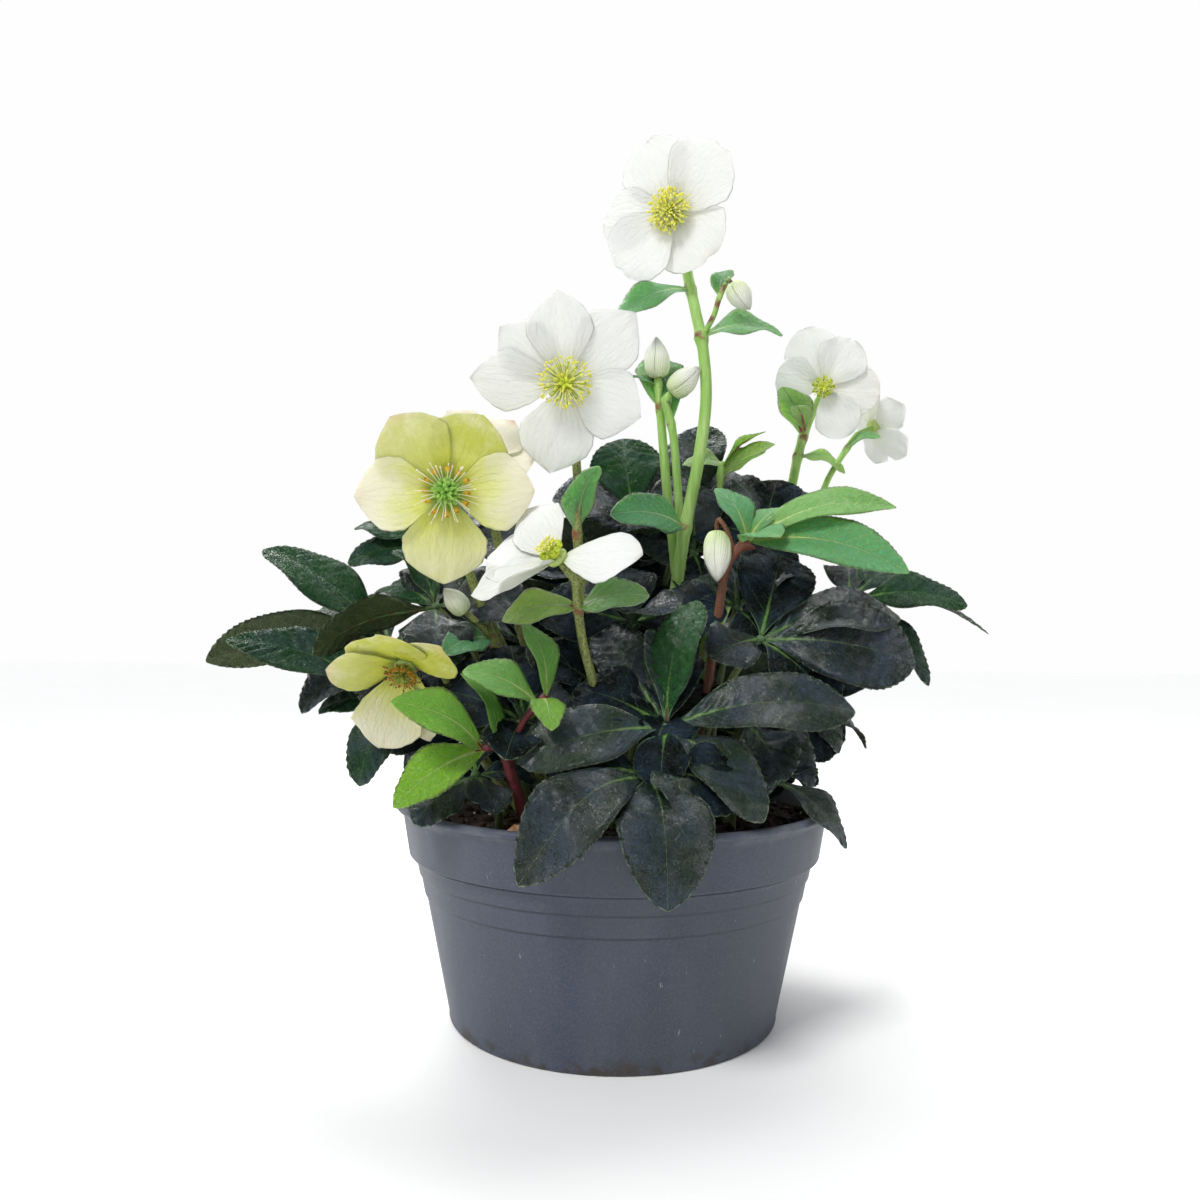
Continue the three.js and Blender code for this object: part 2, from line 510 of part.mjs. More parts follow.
// A three-sided spike from a point: slim at the foot, swollen near the end, pointed
function spike(from, along, long, thin, thick) {
  const at = (q) => from.clone().addScaledVector(along, long * q);
  const reach = new THREE.Vector3(0.3, 0.5, 0.8).cross(along).normalize();
  const across = new THREE.Vector3().crossVectors(along, reach);
  const points = [[0, thin], [0.84, thick]].flatMap(([q, radius]) =>
    [0, 1, 2].map((k) => at(q).addScaledVector(reach, radius * Math.cos((k * 2 * Math.PI) / 3))
      .addScaledVector(across, radius * Math.sin((k * 2 * Math.PI) / 3))));
  points.push(at(1));
  const faces = [[0, 2, 1]];
  for (let k = 0; k < 3; k++) {
    const next = (k + 1) % 3;
    faces.push([k, next, next + 3], [k, next + 3, k + 3], [3 + k, 3 + next, 6]);
  }
  return solidOf(points, faces);
}

const bossCore = { radius: 3.6, height: 4 };
const nectaryLean = 82; // from the bloom's axis; less in a deep cup

// Carpels in the middle, nectaries in a low ring, stamens between them, on a small dome
function boss(bloom) {
  const { centre, forward, right, up } = bloomFrame(bloom);
  const low = rad(nectaryLean) - Math.atan(bloom.cup) / 2;
  const { reach, stamens, nectaries, carpels } = bloom.boss;
  const seat = centre.clone().addScaledVector(forward, receptacle.half + gap);
  const spread = (turn, lean) =>
    forward.clone().multiplyScalar(Math.cos(lean))
      .addScaledVector(right, Math.sin(lean) * Math.cos(turn))
      .addScaledVector(up, Math.sin(lean) * Math.sin(turn));
  const top = seat.clone().addScaledVector(forward, bossCore.height);
  const core = tube([seat, top], [bossCore.radius, bossCore.radius * 0.6], 6);
  const inner = (way) =>
    seat.clone().addScaledVector(forward, 1.2).addScaledVector(way, bossCore.height * 0.55);
  const goldenTurn = Math.PI * (3 - Math.sqrt(5));
  const ring = (count, make) => Array.from({ length: count }, (_, k) => make(k));
  const filaments = ring(stamens, (k) => {
    const way = spread(k * goldenTurn, rad(24 + (44 * (k + 0.5)) / stamens));
    return spike(inner(way), way, reach - 2, 0.45, 1.1);
  });
  const tubes = ring(nectaries, (k) => {
    const way = spread((2 * Math.PI * k) / nectaries, low);
    return spike(inner(way), way, Math.min(7, reach * 0.7), 0.8, 1.4);
  });
  const ovaries = ring(carpels, (k) => {
    const way = spread((2 * Math.PI * (k + 0.3)) / carpels, rad(14));
    return spike(inner(way), way, Math.min(8, reach - 2), 1.2, 0.8);
  });
  return fuse([core, ...filaments, ...tubes, ...ovaries]);
}

// Overlapping folded tepals as five soft lobes round a pointed bud
const budStations = [[0.0, 0.45], [0.18, 0.82], [0.45, 1], [0.75, 0.72]];
const budLobes = 5;
function bud({ base, aim, long, radius }) {
  const along = heading(...aim);
  const reach = new THREE.Vector3(0.2, 0.9, 0.4).cross(along).normalize();
  const across = new THREE.Vector3().crossVectors(along, reach);
  const sides = 2 * budLobes;
  const foot = vector(base).addScaledVector(along, gap);
  const points = budStations.flatMap(([q, share]) =>
    Array.from({ length: sides }, (_, k) => {
      const angle = (2 * Math.PI * k) / sides + q;
      const size = radius * share * (k % 2 ? 0.84 : 1);
      return foot.clone().addScaledVector(along, long * q).addScaledVector(reach, size * Math.cos(angle))
        .addScaledVector(across, size * Math.sin(angle));
    }));
  const tip = points.push(foot.clone().addScaledVector(along, long)) - 1;
  const faces = [];
  for (let i = 0; i < budStations.length - 1; i++)
    for (let k = 0; k < sides; k++) {
      const a = i * sides + k;
      const b = i * sides + ((k + 1) % sides);
      faces.push([a, b, b + sides], [a, b + sides, a + sides]);
    }
  for (let k = 1; k < sides - 1; k++) faces.push([0, k + 1, k]);
  for (let k = 0; k < sides; k++) faces.push([tip - sides + k, tip - sides + ((k + 1) % sides), tip]);
  return solidOf(points, faces);
}

// Outer wall of the pot at a height: a straight taper with a small step in at each ledge
const ledgeStep = 0.8;
const collarFoot = 104.5;
function bodyRadius(z) {
  const taper = (collarFoot - 1 - baseRadius) / collarBottom;
  const passed = ledges.filter((height) => z < height).length;
  return baseRadius + taper * z + ledgeStep * (1 - passed);
}

function pot() {
  const lipFoot = potHeight - lipHeight;
  const step = 0.7;
  const outside = [
    [0, 0], [baseRadius - 1.5, 0], [bodyRadius(2), 2],
    [bodyRadius(ledges[1] - step), ledges[1] - step], [bodyRadius(ledges[1] + 0.1), ledges[1] + step],
    [bodyRadius(ledges[0] - step), ledges[0] - step], [bodyRadius(ledges[0] + 0.1), ledges[0] + step],
    [collarFoot, collarBottom], [collarFoot + 3.4, collarBottom + 2.4],
    [rimRadius - 3, lipFoot], [rimRadius, lipFoot + 0.6], [rimRadius - 0.4, potHeight],
  ];
  const inside = [
    [rimRadius - 4.2, potHeight], [rimRadius - 5.2, potHeight - 2], [innerRadius(collarBottom), collarBottom],
    [innerRadius(0), wall + 2], [innerRadius(0) - 2, wall], [0, wall],
  ];
  const profile = outside.concat(inside).map(([r, z]) => new THREE.Vector2(r, z));
  const shell = solidFromGeometry(new THREE.LatheGeometry(profile, potSides).rotateX(Math.PI / 2));
  const drills = Array.from({ length: drainHole.count }, (_, k) => {
    const place = heading((360 * (k + 0.5)) / drainHole.count, 0).multiplyScalar(drainHole.ring);
    const ends = [place.clone().setZ(-1), place.clone().setZ(wall + 1)];
    return tube(ends, [drainHole.radius, drainHole.radius], 6);
  });
  return shell.subtract(fuse(drills));
}

// Inner wall of the pot: one straight taper from the floor to the foot of the lip
function innerRadius(z) {
  const floorRadius = baseRadius - wall - 1;
  return floorRadius + ((rimRadius - 5.2 - floorRadius) * z) / (potHeight - 2);
}

const holeSize = (radius) => Math.SQRT2 * (radius + gap); // half-diagonal of a stem's square hole

// The soil fills the pot to below the rim, with a low mound and a plain hole for each stem
function soil(feet) {
  const rings = [64];
  const sides = potSides;
  const level = (radius, k) => soilTop + 0.7 * Math.sin(radius / 9 + 5 * k) - (radius * radius) / 9000;
  const rim = innerRadius(soilTop) - gap - 0.6;
  const stations = [...rings.map((radius) => [radius, null]), [rim, soilTop - 2]];
  const points = [new THREE.Vector3(0, 0, soilTop)];
  stations.forEach(([radius, fixed], i) => {
    for (let k = 0; k < sides; k++) {
      const angle = (2 * Math.PI * k) / sides;
      const z = fixed ?? level(radius, k * (i + 1));
      points.push(new THREE.Vector3(radius * Math.cos(angle), radius * Math.sin(angle), z));
    }
  });
  const floor = innerRadius(wall) - gap - 3;
  for (let k = 0; k < sides; k++) {
    const angle = (2 * Math.PI * k) / sides;
    points.push(new THREE.Vector3(floor * Math.cos(angle), floor * Math.sin(angle), wall + gap));
  }
  const bottom = points.push(new THREE.Vector3(0, 0, wall + gap)) - 1;
  const faces = [];
  for (let k = 0; k < sides; k++) {
    const next = (k + 1) % sides;
    faces.push([0, 1 + k, 1 + next]);
    for (let i = 0; i < stations.length; i++) {
      const a = 1 + i * sides + k;
      const b = 1 + i * sides + next;
      faces.push([a, a + sides, b + sides], [a, b + sides, b]);
    }
    faces.push([bottom, bottom - sides + next, bottom - sides + k]);
  }
  const holes = feet.map(({ foot: [x, y], radius }) => {
    const ends = [new THREE.Vector3(x, y, soilTop - holeDepth), new THREE.Vector3(x, y, soilTop + 2)];
    return tube(ends, [holeSize(radius), holeSize(radius)], 4);
  });
  return solidOf(points, faces).subtract(fuse(holes));
}

// A curled scrap of dry leaf on the soil by the front rim
function dryScrap() {
  const place = vector([-56, -84, soilTop - 1.1]);
  return blade(place, [-10, 4, 20, 12, 10], { bow: 0.22, fold: 0.3 });
}

const plant = new THREE.Group();
plant.name = "hellebore";

const farOnes = farLeaves.map((entry, i) => ({ name: "leaf_far_" + (i + 1), ...farLeaf(entry) }));
const allLeaves = leaves.concat(farOnes);
const feet = allLeaves.map(({ foot }) => ({ foot, radius: petiole.foot }))
  .concat([...stems, ...shoots].map(({ foot, radius }) => ({ foot, radius: radius[0] })));

plant.add(meshOf("pot", pot(), potGrey));
plant.add(meshOf("soil", soil(feet), soilBrown));
plant.add(meshOf("dry_leaf_scrap", dryScrap(), dryTan));
for (const entry of allLeaves) plant.add(meshOf(entry.name, leaf(entry), leafGreen));
for (const entry of stems) plant.add(meshOf(entry.name, stem(entry), entry.skin));
for (const entry of shoots) plant.add(meshOf(entry.name, stem(entry, 2), entry.skin));
for (const bloom of blooms) {
  plant.add(meshOf("tepals_" + bloom.name, bloomTepals(bloom), bloom.skin));
  if (bloom.boss) plant.add(meshOf("stamens_" + bloom.name, boss(bloom), bloom.boss.skin));
}
for (const entry of buds) plant.add(meshOf(entry.name, bud(entry), budPale));

export default plant;
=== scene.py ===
# Hellebore in a nursery pot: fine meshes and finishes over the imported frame.
# Tables are in millimetres along the frame's own axes, and directions are [turn, rise] in degrees.
import math

import bpy
import numpy as np
from mathutils import Matrix, noise


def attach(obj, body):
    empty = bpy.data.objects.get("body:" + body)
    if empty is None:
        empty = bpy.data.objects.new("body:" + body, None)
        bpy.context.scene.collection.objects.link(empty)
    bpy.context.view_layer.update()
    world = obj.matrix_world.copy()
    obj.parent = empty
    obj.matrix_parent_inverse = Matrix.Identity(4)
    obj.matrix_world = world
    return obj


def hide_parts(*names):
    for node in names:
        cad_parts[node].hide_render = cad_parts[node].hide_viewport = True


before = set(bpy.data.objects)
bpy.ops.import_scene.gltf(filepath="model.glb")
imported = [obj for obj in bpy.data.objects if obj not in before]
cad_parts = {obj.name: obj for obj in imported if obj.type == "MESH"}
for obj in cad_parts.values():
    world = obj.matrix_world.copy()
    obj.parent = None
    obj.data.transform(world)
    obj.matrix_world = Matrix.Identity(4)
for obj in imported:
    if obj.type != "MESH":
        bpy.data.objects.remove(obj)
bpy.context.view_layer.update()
print("frame loaded:", len(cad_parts), "nodes")

mm = 0.001
fullTurn = 2 * math.pi
draw = np.random.default_rng(11)


# Directions and smooth steps
def heading(turn, rise):
    level = math.cos(math.radians(rise))
    turned = math.radians(turn)
    return np.array([level * math.cos(turned), level * math.sin(turned), math.sin(math.radians(rise))])


def unit(vector):
    return vector / np.linalg.norm(vector)


def rolled(vector, axis, degrees):
    angle = math.radians(degrees)
    return (vector * math.cos(angle) + np.cross(axis, vector) * math.sin(angle)
            + axis * np.dot(axis, vector) * (1 - math.cos(angle)))


def ease(low, high, value):
    share = np.clip((value - low) / (high - low), 0, 1)
    return share * share * (3 - 2 * share)


# Meshes
readNames = ["along", "fromRib", "fromEdge", "lateral", "chance", "tone"]


# Values over a sheet, followed by those of its lower face run back so that each row closes
def both(values, under=None):
    below = values if under is None else under
    return np.concatenate([values, below[:, 1:-1][:, ::-1]], 1)


def linked(name, data):
    made = bpy.data.objects.new(name, data)
    bpy.context.scene.collection.objects.link(made)
    return made


# Collects the grids of one piece, with a skin number for each face and what the shaders read
class Grids:
    def __init__(self):
        self.points, self.maps, self.reads, self.faces, self.skins = [], [], [], [], []
        self.count = 0

    # Rings of points joined into a closed skin, with a face across each end
    def addTube(self, rings, skins=0, places=None, **reads):
        rows, columns = rings.shape[:2]
        total = rows * columns
        self.points.append(rings.reshape(-1, 3))
        self.maps.append(np.zeros((total, 2)) if places is None else places.reshape(-1, 2))
        table = np.zeros((total, len(readNames)))
        for name, values in reads.items():
            table[:, readNames.index(name)] = np.broadcast_to(values, (rows, columns)).ravel()
        self.reads.append(table)
        ids = np.arange(total).reshape(rows, columns) + self.count
        self.count += total
        after = np.roll(ids, -1, 1)
        quads = np.stack([ids[:-1], after[:-1], after[1:], ids[1:]], -1)
        self.faces += quads.reshape(-1, 4).tolist() + [ids[0, ::-1].tolist(), ids[-1].tolist()]
        numbers = np.broadcast_to(skins, (rows - 1, columns)).ravel()
        self.skins.append(np.append(numbers, numbers[[0, -columns]]))

    # A sheet of points thickened both ways and closed, with one skin above and one below
    def addSheet(self, middle, thick, skins, flat, **reads):
        level = np.zeros(middle.shape[:2])
        skinRow = np.repeat(skins[:2], middle.shape[1] - 1)[None]
        places = np.stack([both(values) for values in flat], -1)
        spread = {name: both(values + level) for name, values in reads.items()}
        self.addTube(both(middle + thick, middle - thick), skinRow, places, **spread)

    def piece(self, name, skins, nodes):
        mesh = bpy.data.meshes.new(name)
        mesh.from_pydata((np.concatenate(self.points) * mm).tolist(), [], self.faces)
        numbers = np.concatenate(self.skins).astype(np.int32)
        mesh.polygons.foreach_set("material_index", numbers)
        mesh.polygons.foreach_set("use_smooth", np.ones(len(numbers), bool))
        corners = np.zeros(len(mesh.loops), np.int32)
        mesh.loops.foreach_get("vertex_index", corners)
        layer = mesh.uv_layers.new(name="blade")
        layer.uv.foreach_set("vector", np.concatenate(self.maps)[corners].astype(np.float32).ravel())
        table = np.concatenate(self.reads).astype(np.float32)
        for column, label in enumerate(readNames):
            if np.ptp(table[:, column]) > 0:
                mesh.attributes.new(label, "FLOAT", "POINT").data.foreach_set("value", table[:, column])
        for skin in skins:
            mesh.materials.append(skin)
        mesh.update()
        made = linked(name, mesh)
        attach(made, "root")
        if nodes:
            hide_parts(*nodes)
        return made


def around(count):
    return np.arange(count) * fullTurn / count


# Rings round the upright axis from rows of [radius, height]
def revolved(profile, sides):
    profile, angles = np.asarray(profile), around(sides)
    rings = np.zeros((len(profile), sides, 3))
    rings[:, :, 0] = profile[:, :1] * np.cos(angles)
    rings[:, :, 1] = profile[:, :1] * np.sin(angles)
    rings[:, :, 2] = profile[:, 1:]
    return rings


# A round tube along a line of points, its section carried along without twisting
def tubeRings(points, radii, sides, squash=1.0):
    points = np.asarray(points, float)
    alongs = np.vstack([points[1:], points[-1:]]) - np.vstack([points[:1], points[:-1]])
    alongs /= np.linalg.norm(alongs, axis=1)[:, None]
    reach = np.array([1.0, 0.0, 0.0])
    if abs(alongs[0][0]) > 0.9:
        reach = np.array([0.0, 1.0, 0.0])
    angles = around(sides)
    rings = np.zeros((len(points), sides, 3))
    for i, (point, along) in enumerate(zip(points, alongs)):
        reach = unit(reach - along * np.dot(reach, along))
        across = np.cross(along, reach)
        ring = np.cos(angles)[:, None] * reach + np.sin(angles)[:, None] * across * squash
        rings[i] = point + radii[i] * ring
    return rings


def bezier(a, b, c, d, count):
    t = np.linspace(0, 1, count)[:, None]
    return a * (1 - t) ** 3 + 3 * b * t * (1 - t) ** 2 + 3 * c * t * t * (1 - t) + d * t ** 3


# A curve that leaves its foot along an arm, by shares of it, and ends at a tip
def reaching(foot, arm, tip, shares, count):
    return bezier(foot, foot + arm * shares[0], foot + arm * shares[1], tip, count)


# A smooth line through the points, spaced by the root of their distance
def smoothLine(points, step=2.5):
    points = [np.asarray(p, float) for p in points]
    ends = [2 * points[0] - points[1]] + points + [2 * points[-1] - points[-2]]
    line = [points[0]]
    for p0, p1, p2, p3 in zip(ends, ends[1:], ends[2:], ends[3:]):
        d0, d1, d2 = (max(np.linalg.norm(b - a), 1e-4) ** 0.5 for a, b in ((p0, p1), (p1, p2), (p2, p3)))
        start = ((p1 - p0) / d0 - (p2 - p0) / (d0 + d1) + (p2 - p1) / d1) * d1
        stop = ((p2 - p1) / d1 - (p3 - p1) / (d1 + d2) + (p3 - p2) / d2) * d1
        count = max(2, int(np.linalg.norm(p2 - p1) / step))
        for t in np.linspace(0, 1, count + 1)[1:]:
            line.append(p1 + start * t + (3 * (p2 - p1) - 2 * start - stop) * t * t
                        + (2 * (p1 - p2) + start + stop) * t ** 3)
    return np.array(line)


def nearestOn(line, place):
    runs = line[1:] - line[:-1]
    shares = ((place - line[:-1]) * runs).sum(1) / np.maximum((runs * runs).sum(1), 1e-9)
    spots = line[:-1] + runs * np.clip(shares, 0, 1)[:, None]
    return spots[np.argmin(((spots - place) ** 2).sum(1))]


# Shader building
def colour(text):
    parts = [int(text[i:i + 2], 16) / 255 for i in (1, 3, 5)]
    return [p / 12.92 if p <= 0.04045 else ((p + 0.055) / 1.055) ** 2.4 for p in parts] + [1]


class Shader:
    def __init__(self, tree):
        self.tree = tree

    def node(self, kind, inputs=(), **settings):
        made = self.tree.nodes.new(kind)
        for key, value in settings.items():
            setattr(made, key, value)
        for socket, value in dict(inputs).items():
            self.give(made.inputs[socket], value)
        return made

    def give(self, socket, value):
        if isinstance(value, bpy.types.NodeSocket):
            self.tree.links.new(value, socket)
        else:
            socket.default_value = value

    def read(self, name):
        return self.node("ShaderNodeAttribute", attribute_name=name).outputs["Fac"]

    def place(self, kind="Object"):
        return self.node("ShaderNodeTexCoord").outputs[kind]

    def flat(self):
        return self.node("ShaderNodeUVMap", uv_map="blade").outputs["UV"]

    def height(self, vector, axis="Z"):
        return self.node("ShaderNodeSeparateXYZ", {"Vector": vector}).outputs[axis]

    def stretched(self, vector, sizes):
        return self.node("ShaderNodeMapping", {"Vector": vector, "Scale": sizes}).outputs["Vector"]

    def cloud(self, vector, size, detail=3.0, rough=0.55):
        inputs = {"Vector": vector, "Scale": size, "Detail": detail, "Roughness": rough}
        return self.node("ShaderNodeTexNoise", inputs).outputs["Fac"]

    def cells(self, vector, size, feature="DISTANCE_TO_EDGE"):
        inputs = {"Vector": vector, "Scale": size}
        return self.node("ShaderNodeTexVoronoi", inputs, feature=feature).outputs["Distance"]

    def sum(self, operation, *values):
        return self.node("ShaderNodeMath", enumerate(values), operation=operation).outputs[0]

    def times(self, *values):
        return self.sum("MULTIPLY", *values)

    def plus(self, *values):
        return self.sum("ADD", *values)

    def span(self, value, low, high, start=0.0, stop=1.0):
        inputs = {"Value": value, "From Min": low, "From Max": high, "To Min": start, "To Max": stop}
        return self.node("ShaderNodeMapRange", inputs, interpolation_type="SMOOTHSTEP").outputs[0]

    def mix(self, share, first, second):
        first, second = (colour(paint) if isinstance(paint, str) else paint for paint in (first, second))
        return self.node("ShaderNodeMix", {0: share, 6: first, 7: second}, data_type="RGBA").outputs[2]

    # A paint laid over the base where a value runs from low to high, at most so strong
    def over(self, base, paint, value, low, high, most=1.0):
        return self.mix(self.span(value, low, high, 0, most), base, paint)

    def bump(self, height, distance, under=None, strength=1.0):
        made = self.node("ShaderNodeBump", {"Height": height, "Distance": distance, "Strength": strength})
        if under is not None:
            self.give(made.inputs["Normal"], under)
        return made.outputs["Normal"]


class Skin(Shader):
    def __init__(self, name, **fixed):
        self.material = bpy.data.materials.new(name)
        self.material.use_nodes = True
        super().__init__(self.material.node_tree)
        self.set(**fixed)

    def set(self, **values):
        for socket, value in values.items():
            self.give(self.tree.nodes["Principled BSDF"].inputs[socket.replace("_", " ")], value)

    def finish(self, base, rough, normal=None):
        self.set(Base_Color=base, Roughness=rough)
        if normal is not None:
            self.set(Normal=normal)
        return self.material


# How light passes through a thin blade: its share, and how far each colour goes
def through(share, *reach):
    return {"Subsurface_Weight": share, "Subsurface_Scale": 0.004, "Subsurface_Radius": reach}


# Camera, light and floor
view = {
    "place": (0, -541.8, 196.8), "lookUp": 2.18, "lookLeft": -0.92, "roll": 0.573, "lens": 30.0, "film": 36,
    "floor": {"half": 6.0, "colour": "#fbfaf8", "grain": "#f6f5f2", "rough": 0.8},
    "room": {"front": (0.4, 0.42, 0.46, 1), "back": (0.99, 0.99, 0.99, 1), "turn": (0.15, 0.66)},
    "lampsLookAt": (0, 0, 0.22),
    "sun": {"at": (-0.55, -0.75, 1.3), "strength": 2.0, "angle": 18},
    "lamps": [
        {"name": "backLamp", "at": (-0.5, 0.62, 1.15), "size": 0.4, "power": 9},
        {"name": "topLamp", "at": (0.3, 0.35, 1.3), "size": 0.5, "power": 5},
    ],
}


def standing(made, right, top, back, place):
    turned = Matrix([list(row) for row in np.column_stack([right, top, back])]).to_4x4()
    turned.translation = place
    made.matrix_world = turned


# A lamp placed so that it looks at the middle of the plant
def aimed(lampData, place):
    toPlant = unit(np.array(view["lampsLookAt"]) - np.array(place))
    side = unit(np.cross(toPlant, [0, 0, 1]))
    standing(linked(lampData.name, lampData), side, np.cross(side, toPlant), -toPlant, place)


def makeCamera():
    yaw, pitch, roll = (math.radians(view[key]) for key in ("lookLeft", "lookUp", "roll"))
    level = np.array([math.cos(yaw), -math.sin(yaw), 0])
    ahead = np.array([math.cos(pitch) * math.sin(yaw), math.cos(pitch) * math.cos(yaw), math.sin(pitch)])
    upright = np.cross(level, ahead)
    right = math.cos(roll) * level + math.sin(roll) * upright
    top = -math.sin(roll) * level + math.cos(roll) * upright
    data = bpy.data.cameras.new("camera")
    data.lens, data.sensor_width, data.clip_start = view["lens"], view["film"], 0.01
    camera = linked("camera", data)
    standing(camera, right, top, -ahead, np.array(view["place"]) * mm)
    bpy.context.scene.camera = camera


def makeLamps():
    sunData = bpy.data.lights.new("softSun", "SUN")
    sunData.energy, sunData.angle = view["sun"]["strength"], math.radians(view["sun"]["angle"])
    aimed(sunData, view["sun"]["at"])
    for lamp in view["lamps"]:
        lampData = bpy.data.lights.new(lamp["name"], "AREA")
        lampData.size, lampData.energy = lamp["size"], lamp["power"]
        aimed(lampData, lamp["at"])


# The room is bright on the far side of the plant and dimmer behind the camera
def makeRoom():
    room = view["room"]
    world = bpy.data.worlds.new("studio")
    world.use_nodes = True
    sky = Shader(world.node_tree)
    away = sky.height(sky.place("Generated"), "Y")
    shade = sky.mix(sky.span(away, *room["turn"]), room["front"], room["back"])
    sky.give(world.node_tree.nodes["Background"].inputs["Color"], shade)
    bpy.context.scene.world = world
    bpy.context.scene.view_settings.view_transform = "Standard"


def makeFloor():
    look = view["floor"]
    half = look["half"]
    corners = [(-half, -half, 0), (half, -half, 0), (half, half, 0), (-half, half, 0)]
    mesh = bpy.data.meshes.new("floor")
    mesh.from_pydata(corners, [], [(0, 1, 2, 3)])
    skin = Skin("floorPale", Specular_IOR_Level=0.2)
    base = skin.mix(skin.cloud(skin.place(), 3.0), look["colour"], look["grain"])
    mesh.materials.append(skin.finish(base, look["rough"]))
    floor = linked("floor", mesh)


makeCamera()
makeLamps()
makeRoom()
makeFloor()
print("camera, lamps and floor placed")


# Pot
pot = {
    "rimRadius": 115, "height": 113, "baseRadius": 86, "wall": 2, "collarBottom": 84, "collarFoot": 104.5,
    "collarStep": 3.4, "lipDrop": 6, "lipRadius": 1.9, "ledges": [75.5, 65], "ledgeStep": 0.8, "sides": 192,
    "underside": 0.6, "footRound": 2, "floorRound": 3, "middle": 0.5, "innerInset": 5.2, "collarInset": 1,
    "drainHole": {"radius": 5, "ring": 60, "count": 5, "sides": 24},
    "plastic": "#3b4252", "worn": "#494f5c", "cast": "#4c4c4c", "grain": "#5f646e", "scuff": "#a3a5a6",
    "grooveShadeAndDirt": "#1f232b", "dirt": "#3b342d", "dust": "#6d6f73", "lineHalf": (0.0009, 0.0003), "lineMost": 0.42,
    "splashTo": (0.011, 0.001), "dustFrom": (0.104, 0.1075), "rough": (0.44, 0.62), "shine": 0.42,
}
soilTop = 104


def innerRadius(z):
    floorRadius = pot["baseRadius"] - pot["wall"] - 1
    rimInside = pot["rimRadius"] - pot["innerInset"]
    return floorRadius + (rimInside - floorRadius) * z / (pot["height"] - pot["wall"])


def bodyRadius(z):
    taper = (pot["collarFoot"] - pot["collarInset"] - pot["baseRadius"]) / pot["collarBottom"]
    passed = sum(float(ease(-0.5, 0.5, height - z)) for height in pot["ledges"])
    return pot["baseRadius"] + taper * z + pot["ledgeStep"] * (1 - passed)


# Points of a rounded corner from angle to angle, in degrees, about a centre
def arc(centre, radius, start, stop, count=6):
    angles = np.radians(np.linspace(start, stop, count))
    return [(centre[0] + radius * math.cos(a), centre[1] + radius * math.sin(a)) for a in angles]


# Rows of [radius, height] from the underside, up the outside, over the lip and down to the inner floor
def potProfile():
    rim, top, foot, low = (pot[key] for key in ("rimRadius", "height", "collarFoot", "collarBottom"))
    base, under, lip, collar = pot["baseRadius"], pot["underside"], pot["lipRadius"], foot + pot["collarStep"]
    outside = [(pot["middle"], under), (30, under), (base - 5, under), (base - 3.6, 0)]
    outside += arc((base - pot["footRound"], pot["footRound"]), pot["footRound"], -90, -8)
    for start, stop, count in ((3, 63, 14), (64, 77, 40), (78, low - 1.2, 4)):
        outside += [(bodyRadius(z), z) for z in np.linspace(start, stop, count)]
    outside += arc((foot - 0.6, low - 0.2), 0.7, -40, 60, 4)
    outside += arc((collar - 1.6, low + 2.6), 1.6, -55, 5)
    outside += [(collar + (rim - 6.6 - foot) * q, low + 2.6 + (top - pot["lipDrop"] - low) * q)
                for q in np.linspace(0.1, 0.93, 9)]
    outside += arc((rim - lip, top - 2.6), lip, -75, 90, 9)
    inside = arc((rim - 3.4, top - lip), 1.2, 90, 180, 5)
    inside += [(innerRadius(z), z) for z in np.linspace(top - 4, 6, 12)]
    inside += arc((innerRadius(2) - pot["floorRound"], 5), pot["floorRound"], 0, -90)
    return outside + inside + [(30, pot["wall"]), (pot["middle"], pot["wall"])]


def plasticSkin():
    skin = Skin("potPlastic", Specular_IOR_Level=pot["shine"])
    place = skin.place()
    height = skin.height(place)
    flow = skin.cloud(skin.stretched(place, (1, 1, 0.12)), 34, 4)
    fine = skin.cloud(place, 900, 2, 0.7)
    base = skin.mix(skin.span(flow, 0.35, 0.7), pot["plastic"], pot["worn"])
    base = skin.over(base, pot["cast"], skin.cloud(place, 9, 2), 0.4, 0.75, 0.35)
    base = skin.over(base, pot["grain"], fine, 0.4, 0.75, 0.35)
    scratches = skin.cloud(skin.stretched(place, (240, 240, 26)), 3.2, 2, 0.4)
    base = skin.over(base, pot["scuff"], scratches, 0.755, 0.78, 0.45)
    # A thin darker line along each ledge: painted shade in the groove, with dirt
    for ledge in pot["ledges"]:
        away = skin.sum("ABSOLUTE", skin.sum("SUBTRACT", height, ledge * mm))
        base = skin.over(base, pot["grooveShadeAndDirt"], away, *pot["lineHalf"], pot["lineMost"])
    specks = skin.span(skin.cells(skin.stretched(place, (1, 1, 0.75)), 210, "F1"), 0.13, 0.06)
    base = skin.mix(skin.times(specks, skin.span(skin.cloud(place, 60, 1), 0.6, 0.66)), base, pot["dirt"])
    splash = skin.span(skin.cloud(place, 120, 4), 0.42, 0.62)
    base = skin.mix(skin.times(skin.span(height, *pot["splashTo"]), splash), base, pot["dirt"])
    dust = skin.span(skin.cloud(place, 90, 3), 0.4, 0.7, 0, 0.4)
    base = skin.mix(skin.times(skin.span(height, *pot["dustFrom"]), dust), base, pot["dust"])
    normal = skin.bump(flow, 0.0005, skin.bump(fine, 0.00005, strength=0.5), strength=0.35)
    return skin.finish(base, skin.span(flow, 0.3, 0.75, *pot["rough"]), normal)


def drilled(made, cutter):
    cut = made.modifiers.new("drain", "BOOLEAN")
    cut.operation, cut.object, cut.solver = "DIFFERENCE", cutter, "EXACT"
    graph = bpy.context.evaluated_depsgraph_get()
    result = bpy.data.meshes.new_from_object(made.evaluated_get(graph))
    made.modifiers.clear()
    made.data = result
    bpy.data.objects.remove(cutter)


